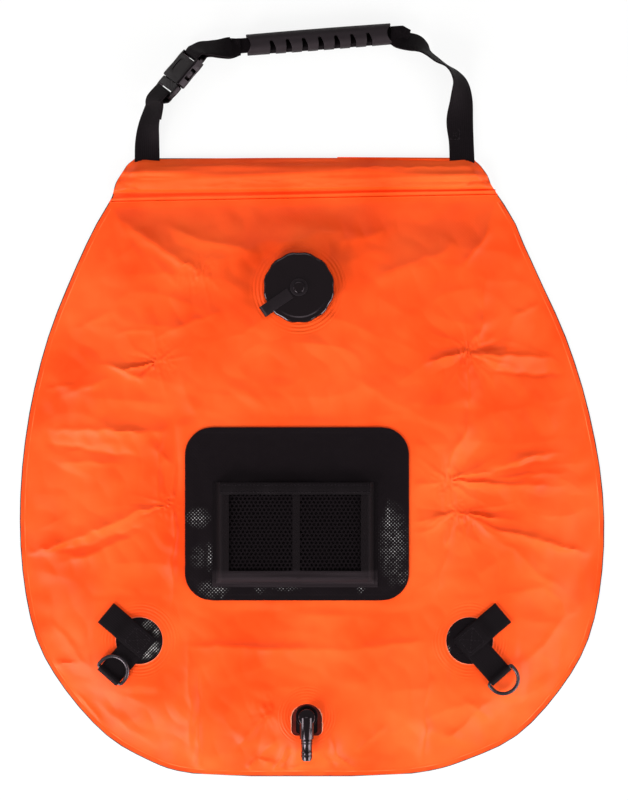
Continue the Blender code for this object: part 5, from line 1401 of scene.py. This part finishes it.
def makeTab(side, sign, flipped):
    hub = Vector((sign * tabs["hubX"], tabs["hubY"], 0))
    thick, gap, wire = strap["thick"], tabs["gap"], tabs["wire"]
    low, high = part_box("patch_" + side)
    droop, flat, patch = tabs["droop"], tabs["patchFlat"], tabs["patch"]
    rim = ((0, low.z), (flat, low.z), (patch, low.z - droop), (patch, high.z - droop), (flat, high.z),
           (0, high.z))
    disc = spun("patch" + side.capitalize(), rounded(rim, 0.0002, 2, skip=(0, 5)), 96)
    disc.data.transform(Matrix.Translation(hub))
    dress(disc, patchVinyl, "bag", "black_scrim", "patch_" + side, crease=35)

    def layTab(kind, way, rows, step):
        # Webbing along rows of (way out from the hub, height)
        path = evenPath([hub + way * s + Vector((0, 0, z)) for s, z in rows], step)
        piece = layWebbing("tab" + kind.capitalize() + side.capitalize(), path,
                           [leftOf(way) * (strap["width"] / 2)] * len(path))
        dress(piece, webbing, "bag", "black_webbing", "tab_" + kind + "_" + side)

    first = tabs["top"] + gap + thick / 2
    step = thick + gap
    clear, ramp = tabs["stripClear"], tabs["stripRamp"]
    rows = [(-tabs["stripInset"], first + 2 * step), (clear, first + 2 * step)]
    for k in range(1, 8):
        share = k / 8
        rows.append((clear + ramp * share, first + 2 * step * (1 - share * share * (3 - 2 * share))))
    rows += [(clear + ramp, first), (tabs["stripReach"], first)]
    layTab("strip", tabWay(sign, tabs["stripAngle"]), rows, 0.0015)

    loopWay = tabWay(sign, tabs["loopAngle"])
    turn = wire + gap + thick / 2
    barS, barZ = tabs["loopReach"] - turn - thick / 2, first + turn
    closed = barS - tabs["loopClose"]
    rows = [(-tabs["loopInset"], first + step), (closed, first + step)]
    rows += [(closed + k * 0.001, first + step + (turn * 0.95 - step) * (k / 4.5) ** 2) for k in range(1, 5)]
    rows += arc((barS, barZ), turn, 110, -90, 20)
    rows += [(closed, first), (-tabs["loopInset"], first)]
    layTab("loop", loopWay, rows, 0.0009)

    half, corner = strap["width"] / 2 + tabs["sideGap"] + wire, tabs["corner"]
    flat = arc((corner - half, corner), corner, 180, 270, 6)
    flat += [(corner - half + (half - corner) * 2 * k / 12, 0) for k in range(1, 12)]
    flat += arc((half - corner, corner), corner, 270, 360, 6)
    flat += arc((0, tabs["leg"]), half, 0, 180, 48)
    centres, outs = [], []
    for k, (x, y) in enumerate(flat):
        before, after = flat[k - 1], flat[(k + 1) % len(flat)]
        centres.append(Vector((x, y, 0)))
        outs.append(Vector((after[1] - before[1], before[0] - after[0], 0)).normalized())
    section = [(wire * math.cos(a), wire * math.sin(a)) for a in [2 * math.pi * k / 16 for k in range(16)]]
    piece = swept("ring" + side.capitalize(), centres, outs, [Vector((0, 0, 1))] * len(flat), section,
                  closed=True)
    ringWay = -leftOf(loopWay)
    swing = math.radians(180 - tabs["lieBack"] if flipped else -tabs["lieOut"])
    rest = framed(ringWay, loopWay, ringWay.cross(loopWay), hub + loopWay * barS + Vector((0, 0, barZ)))
    piece.data.transform(rest @ Matrix.Rotation(swing, 4, "X"))
    dress(piece, ringPlastic, "ring_" + side, "ring_plastic", "d_ring_" + side, crease=60)


makeTab("left", -1, True)
makeTab("right", 1, False)
print("tabs and rings made")


# Handle: webbing rows of x, y, z in millimetres, lean in degrees and share of the width, as the CAD lays them

handle = {
    "buckleStart": (-0.11373, 0.297792, 0.012531), "bearing": 49.8, "lean": 50.0, "length": 0.042,
    "width": 0.0255, "thick": 0.0086, "round": 0.0013, "wall": 0.0015, "bar": 0.003, "barSlot": 0.0032,
    "maleThick": 0.0044, "maleBase": 0.013, "prongReach": 0.033, "windowStart": 0.0205,
    "windowLength": 0.0105, "windowWall": 0.0092, "tail": 0.026, "sewn": 0.031, "ease": 0.009,
    "overrun": 0.004, "dishDeep": 0.0004, "dishHalf": 0.0068, "rowSteps": 8, "cutDeep": 0.01,
    "leftRows": ((-126.36, 236.0, 2.9, 0, 1), (-126.36, 247.5, 2.9, 0, 1), (-126.2, 260.4, 4.2, 13, 1),
                 (-124.8, 273.8, 7.2, 33, 1), (-121.0, 288.0, 10.5, 47, 1)),
    "rightRows": ((126.36, 236.0, 2.9, 0, 1), (126.36, 247.5, 2.9, 0, 1), (125.8, 261.2, 2.9, 0, 1),
                  (124.6, 277.2, 3.6, -6, 1.08), (125.8, 293.2, 6.2, -24, 1), (125.1, 306.2, 9.0, -50, 1),
                  (120.8, 314.4, 10.4, -68, 1), (114.2, 320.4, 11.0, -81, 1), (106.2, 325.4, 10.9, -75, 1),
                  (99.0, 331.0, 10.7, -72, 1), (94.4, 335.8, 10.2, -55, 1), (89.2, 339.0, 9.6, -43, 1),
                  (81.5, 340.8, 8.8, -38, 1), (74.5, 344.0, 8.3, -14, 0.86), (69.3, 346.6, 8.0, 0, 0.6),
                  (-46.2, 337.4, 8.0, 0, 0.6), (-53.0, 336.0, 8.8, -10, 0.72), (-60.2, 334.6, 9.8, -26, 0.95),
                  (-68.0, 333.8, 10.6, -42, 1), (-75.2, 333.6, 11.0, -50, 1)),
}


def leaning(along, degrees):
    # Unit vector to the right of the way, turned up by the lean
    lean = math.radians(degrees)
    return -leftOf(along) * math.cos(lean) + Vector((0, 0, 1)) * math.sin(lean)


def buckleMatrix():
    bearing = math.radians(handle["bearing"])
    along = Vector((math.cos(bearing), math.sin(bearing), 0))
    across = leaning(along, handle["lean"])
    return framed(along, -across, across.cross(along), handle["buckleStart"])


def laidRows(rows):
    # Rows in millimetres to places and sides
    points = splineRows(rows, handle["rowSteps"])
    stations = []
    for i, row in enumerate(points):
        before, after = points[max(i - 1, 0)], points[min(i + 1, len(points) - 1)]
        along = Vector((after[0] - before[0], after[1] - before[1], 0)).normalized()
        stations.append((Vector(row[:3]) / 1000, leaning(along, row[3]) * (row[4] * strap["width"] / 2)))
    return stations


def squareUp(stations, across, count):
    # The last sides turn parallel to the bar
    for k in range(count):
        centre, side = stations[-1 - k]
        way = across.lerp(side.normalized(), k / count).normalized()
        stations[-1 - k] = (centre, way * side.length)


def foldBack(stations, over, length, lay, steps=16):
    # Round the bar and back along the webbing, which the end comes to lie on
    centre, side = stations[-1][0] + over, stations[-1][1]
    travel = stations[-1][0] - stations[-2][0]
    sense = 1 if side.cross(-over).dot(travel) > 0 else -1
    path = list(stations)
    for k in range(1, steps + 1):
        turn = Matrix.Rotation(sense * math.pi * k / steps, 3, side)
        path.append((centre + turn @ -over, side))
    gone = 0.0
    for i in range(len(stations) - 2, 0, -1):
        here, hop = stations[i], stations[i + 1][0] - stations[i][0]
        gone += hop.length
        if gone > length:
            break
        along = (stations[i + 1][0] - stations[i - 1][0]).normalized()
        up = along.cross(here[1]).normalized()
        up = up if up.dot(over) > 0 else -up
        drop = min(1.0, max(0.0, 1 - (gone - handle["bar"]) / handle["ease"])) ** 2
        path.append((here[0] + up * (lay + (2 * over.length - lay) * drop), here[1]))
    return path


def makeStraps(material):
    matrix = buckleMatrix()
    along, acrossBar, face = (matrix.to_3x3().col[k].normalized() for k in range(3))
    bar, lean = handle["bar"], handle["lean"]
    toWebbing = face * (bar / math.sqrt(2) + tabs["gap"] + strap["thick"] / 2)
    lay = strap["thick"] + tabs["gap"]

    def route(rows, barX, offset, lead, tilt, across, length):
        # The rows, on to the buckle's bar, round it and back
        reach = matrix @ Vector((barX, 0, 0)) + offset
        rows = list(rows) + [(*(place * 1000), tilt, 1) for place in (reach - along * lead, reach)]
        stations = laidRows(rows)
        squareUp(stations, across, handle["rowSteps"])
        return foldBack(stations, -offset, length, lay), stations

    path, stations = route(handle["leftRows"], bar / 2, toWebbing, 3 * bar, lean, -acrossBar, handle["tail"])
    # Two pieces that meet half way: one from the hem's end, one from the buckle's end
    cut = handle["rowSteps"] * 3
    lower = layWebbing("strapLeftLower", *zip(*path[:cut + 1]))
    upper = layWebbing("strapLeftUpper", *zip(*path[cut:]))
    dress(lower, material, None, "black_webbing", "strap_left")
    dress(upper, material, None, "black_webbing")
    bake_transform(lower)
    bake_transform(upper)

    barX = handle["length"] - bar / 2
    path = route(handle["rightRows"], barX, -toWebbing, -2.2 * bar, -lean, acrossBar, handle["sewn"])[0]
    piece = layWebbing("strapRight", *zip(*path))
    dress(piece, material, None, "black_webbing", "strap_right")
    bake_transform(piece)


makeStraps(webbing)


# Stitches

stitch = {"length": 0.0023, "pitch": 0.0029, "radius": 0.00032, "tabBox": 0.0074, "tabShift": 0.0015,
          "lipShare": 0.3, "strapAt": (0.1206, 0.2665, 0.0037), "strapBox": 0.0040}
upright = Vector((0, 0, 1))


def boxPlaces(centre, across, along):
    # A sewn box with its crossing diagonals: middle and way of every stitch
    corners = [centre + across * a + along * b for a, b in ((-1, -1), (1, -1), (1, 1), (-1, 1))]
    seams = [(corners[k - 1], corners[k]) for k in range(4)]
    seams += [(corners[0], corners[2]), (corners[1], corners[3])]
    places = []
    for start, end in seams:
        count = max(1, round((end - start).length / stitch["pitch"]))
        places += [(start.lerp(end, (k + 0.5) / count), (end - start).normalized()) for k in range(count)]
    return places


def makeStitches(name, places, material, body):
    # One stitch, a small bead of thread, copied to every place
    deselectAll()
    bpy.ops.mesh.primitive_uv_sphere_add(segments=6, ring_count=4, radius=1)
    bead = bpy.context.object
    bead.data.transform(Matrix.Diagonal((stitch["length"] / 2, stitch["radius"], stitch["radius"], 1)))
    copies = []
    for middle, along in places:
        across = upright.cross(along).normalized()
        copy = bead.copy()
        copy.data = bead.data.copy()
        bpy.context.scene.collection.objects.link(copy)
        copy.data.transform(framed(along, across, along.cross(across), middle))
        copies.append(copy)
    bpy.data.objects.remove(bead, do_unlink=True)
    dress(joinPieces(name, copies), material, body, "black_webbing", crease=60)


def sewAll(material):
    # Crossing of the two webbings of each tab
    for side, sign in (("Left", -1), ("Right", 1)):
        way = tabWay(sign, tabs["stripAngle"])
        top = tabs["top"] + 3 * (strap["thick"] + tabs["gap"])
        hub = Vector((sign * tabs["hubX"], tabs["hubY"], top)) + way * stitch["tabShift"]
        places = boxPlaces(hub, leftOf(way) * stitch["tabBox"], way * stitch["tabBox"])
        makeStitches("tabSewing" + side, places, material, "bag")
    # Two seams along the pocket's hem
    low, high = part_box("pocket_lip")
    count = round((pocket["width"] - 2 * pocketLip["inset"]) / stitch["pitch"])
    places = []
    for sign in (-1, 1):
        raised = Vector((0, sign * (high.y - low.y) * stitch["lipShare"], pocketLip["thick"]))
        for k in range(count):
            middle, slope = lipPlace(2 * (k + 0.5) / count - 1)
            places.append((middle + raised, Vector((1, 0, slope)).normalized()))
    makeStitches("lipSewing", places, material, "bag")
    # The small box seen on the right webbing just above the hem
    size = stitch["strapBox"]
    places = boxPlaces(Vector(stitch["strapAt"]), Vector((size, 0, 0)), Vector((0, size, 0)))
    makeStitches("strapSewing", places, material, "handle")


sewAll(makeMoulded("bondedThread", "#130F12", 0.50, 0.0004, 0.25, 0.14))


# Buckle

def mirrored(points):
    # An outline and its mirror image across the middle line
    return [*points, *[(u, -v) for u, v in reversed(points)]]


def cutBar(piece, barStart, openStart, openEnd):
    # The webbing's slot beside a bar, and room for the webbing above and below the bar
    wide, slotHalf = handle["width"] / 2 + handle["overrun"], strap["width"] / 2 + tabs["gap"]
    bar = handle["bar"] / 2
    slot = rectangle(barStart, barStart + handle["barSlot"], -slotHalf, slotHalf)
    cutAway(piece, prism("slotCutter", slot, -handle["cutDeep"], handle["cutDeep"]))
    opening = rectangle(openStart, openEnd, -wide, wide)
    for low, high in ((bar, handle["thick"]), (-handle["thick"], -bar)):
        cutAway(piece, prism("barCutter", opening, low, high))


def makeBuckle(material):
    matrix = buckleMatrix()
    half, length, wall, thick = handle["width"] / 2, handle["length"], handle["wall"], handle["thick"] / 2
    hook, arm, inner, tip = half * 0.94, half * 0.74, half * 0.45, half * 0.6
    start, reach = handle["maleBase"], handle["prongReach"]
    span = reach - start
    upper = (
        (0, half * 0.9), (start * 0.5, half), (start, half), (start, arm), (start + span * 0.35, arm * 0.98),
        (start + span * 0.48, hook), (start + span * 0.78, hook), (reach, tip), (reach, tip - wall),
        (start + span * 0.7, inner * 1.25), (start + span * 0.35, inner), (start + span * 0.06, inner),
        (start + span * 0.06, inner * 0.3), (start + span * 0.86, inner * 0.24),
    )
    deep, bar = handle["maleThick"] / 2, handle["bar"]
    male = prism("buckleMale", rounded(mirrored(upper), 0.0012, 3), -deep, deep, 0.0005)
    cutBar(male, bar, -handle["overrun"], bar)
    male.data.transform(matrix)
    dress(male, material, "buckle", "black_plastic", "buckle_male", crease=35)

    start += tabs["gap"]
    span = length - start
    side = ((start, half), (start + span * 0.18, half), (start + span * 0.45, half * 0.96),
            (start + span * 0.72, half), (length, half * 0.92))
    female = prism("buckleFemale", rounded(mirrored(side), 0.0015, 3), -thick, thick, handle["round"], None, 4)
    mouth, inside = deep + tabs["gap"], half - wall
    cavity = rectangle(start - handle["overrun"], reach + tabs["gap"], -inside, inside)
    cutAway(female, prism("cavityCutter", cavity, -mouth, mouth))
    windowStart, windowWall = handle["windowStart"], handle["windowWall"]
    for low, high in ((windowWall, half + handle["overrun"]), (-half - handle["overrun"], -windowWall)):
        window = rectangle(windowStart, windowStart + handle["windowLength"], low, high)
        cutAway(female, prism("windowCutter", window, -mouth, mouth))
    slotEnd = length - bar
    cutBar(female, slotEnd - handle["barSlot"], slotEnd, length + handle["overrun"])
    # Shallow thumb dish in both faces
    dishEnd = slotEnd - handle["barSlot"] - 0.0035
    dish = rounded(rectangle(start + 0.006, dishEnd, -handle["dishHalf"], handle["dishHalf"]), 0.003, 5)
    deep = handle["cutDeep"]
    for low, high in ((thick - handle["dishDeep"], deep), (-deep, -thick + handle["dishDeep"])):
        cutAway(female, prism("dishCutter", dish, low, high))
    female.data.transform(matrix)
    dress(female, material, "handle", "black_plastic", "buckle_female", crease=35)


makeBuckle(dullPlastic)


# Grip

grip = {
    "at": (0.0115, 0.34205, 0.008), "length": 0.1159, "bearing": 4.5, "width": 0.0176, "height": 0.0160,
    "channelHeight": 0.0038, "channelTop": 0.0068, "lip": 0.0024, "slit": 0.0012, "notches": 7,
    "pitch": 0.0129, "notchWidth": 0.0050, "notchDeep": 0.0104, "notchFloor": -0.0035, "notchTop": 0.012,
    "notchOut": 0.004, "bow": 0.0036, "endRadius": 0.0085, "endDeep": 0.0032, "endHigh": 0.024,
    "slim": 0.965, "steps": 48, "rows": 60,
}


def makeGrip(material):
    bearing, middle = math.radians(grip["bearing"]), Vector(grip["at"])
    along = Vector((math.cos(bearing), math.sin(bearing), 0))
    out = upright.cross(along).normalized()
    a, b = grip["width"] / 2, grip["height"] / 2
    slit = math.degrees(math.asin(grip["slit"] / 2 / b))
    section = []
    for k in range(grip["steps"] + 1):
        turn = math.radians(180 - slit - (360 - 2 * slit) * k / grip["steps"])
        section.append((a * math.cos(turn), b * math.sin(turn)))
    # The slit, and the channel that the webbing runs through
    half, deep, channel = grip["slit"] / 2, grip["channelTop"], grip["channelHeight"] / 2
    lip = grip["lip"] - a
    section += [(lip, -half), (lip, -channel), (deep, -channel), (deep, channel), (lip, channel), (lip, half)]
    centres, sides, ups = [], [], []
    for k in range(grip["rows"] + 1):
        share = k / grip["rows"] * 2 - 1
        centres.append(middle + along * (grip["length"] / 2 * share))
        # The moulding swells a little towards its middle
        swell = grip["slim"] + (1 - grip["slim"]) * math.cos(share * math.pi / 2)
        sides.append(out * swell)
        ups.append(upright * swell)
    piece = swept("handleGrip", centres, sides, ups, section)
    place = framed(along, out, upright, middle - out * a)
    w, bow, deep, low = grip["notchWidth"] / 2, grip["bow"], grip["notchDeep"], -grip["notchOut"]
    crescent = ((-w, low), (w, low), (w + bow * 0.5, deep * 0.45), (w * 0.3 + bow * 0.2, deep),
                (-w * 0.3, deep), (-w + bow * 0.6, deep * 0.45))
    for k in range(grip["notches"]):
        shift = grip["pitch"] * (k - (grip["notches"] - 1) / 2)
        flat = rounded([(shift + u, v) for u, v in crescent], 0.0030, 6, skip=(0, 1))
        cutAway(piece, prism("notchCutter", flat, grip["notchFloor"], grip["notchTop"], 0, place))
    for sign in (-1, 1):
        end = middle + along * sign * (grip["length"] / 2 + grip["endRadius"] - grip["endDeep"])
        deselectAll()
        bpy.ops.mesh.primitive_cylinder_add(vertices=64, radius=grip["endRadius"], depth=grip["endHigh"],
                                            location=end)
        cutAway(piece, bpy.context.object)
    applyModifier(piece, "BEVEL", width=0.0004, segments=2, limit_method="ANGLE", angle_limit=math.radians(50))
    dress(piece, material, "handle", "black_rubber", "handle_grip")


makeGrip(blackRubber)
print("handle made")


# Rigid CAD pieces that stay, in their own finishes

for node, material in (("stiffener_rod", rodPlastic), ("cap_gasket", blackRubber),
                       ("outlet_oring", blackRubber)):
    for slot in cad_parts[node].material_slots:
        slot.material = material
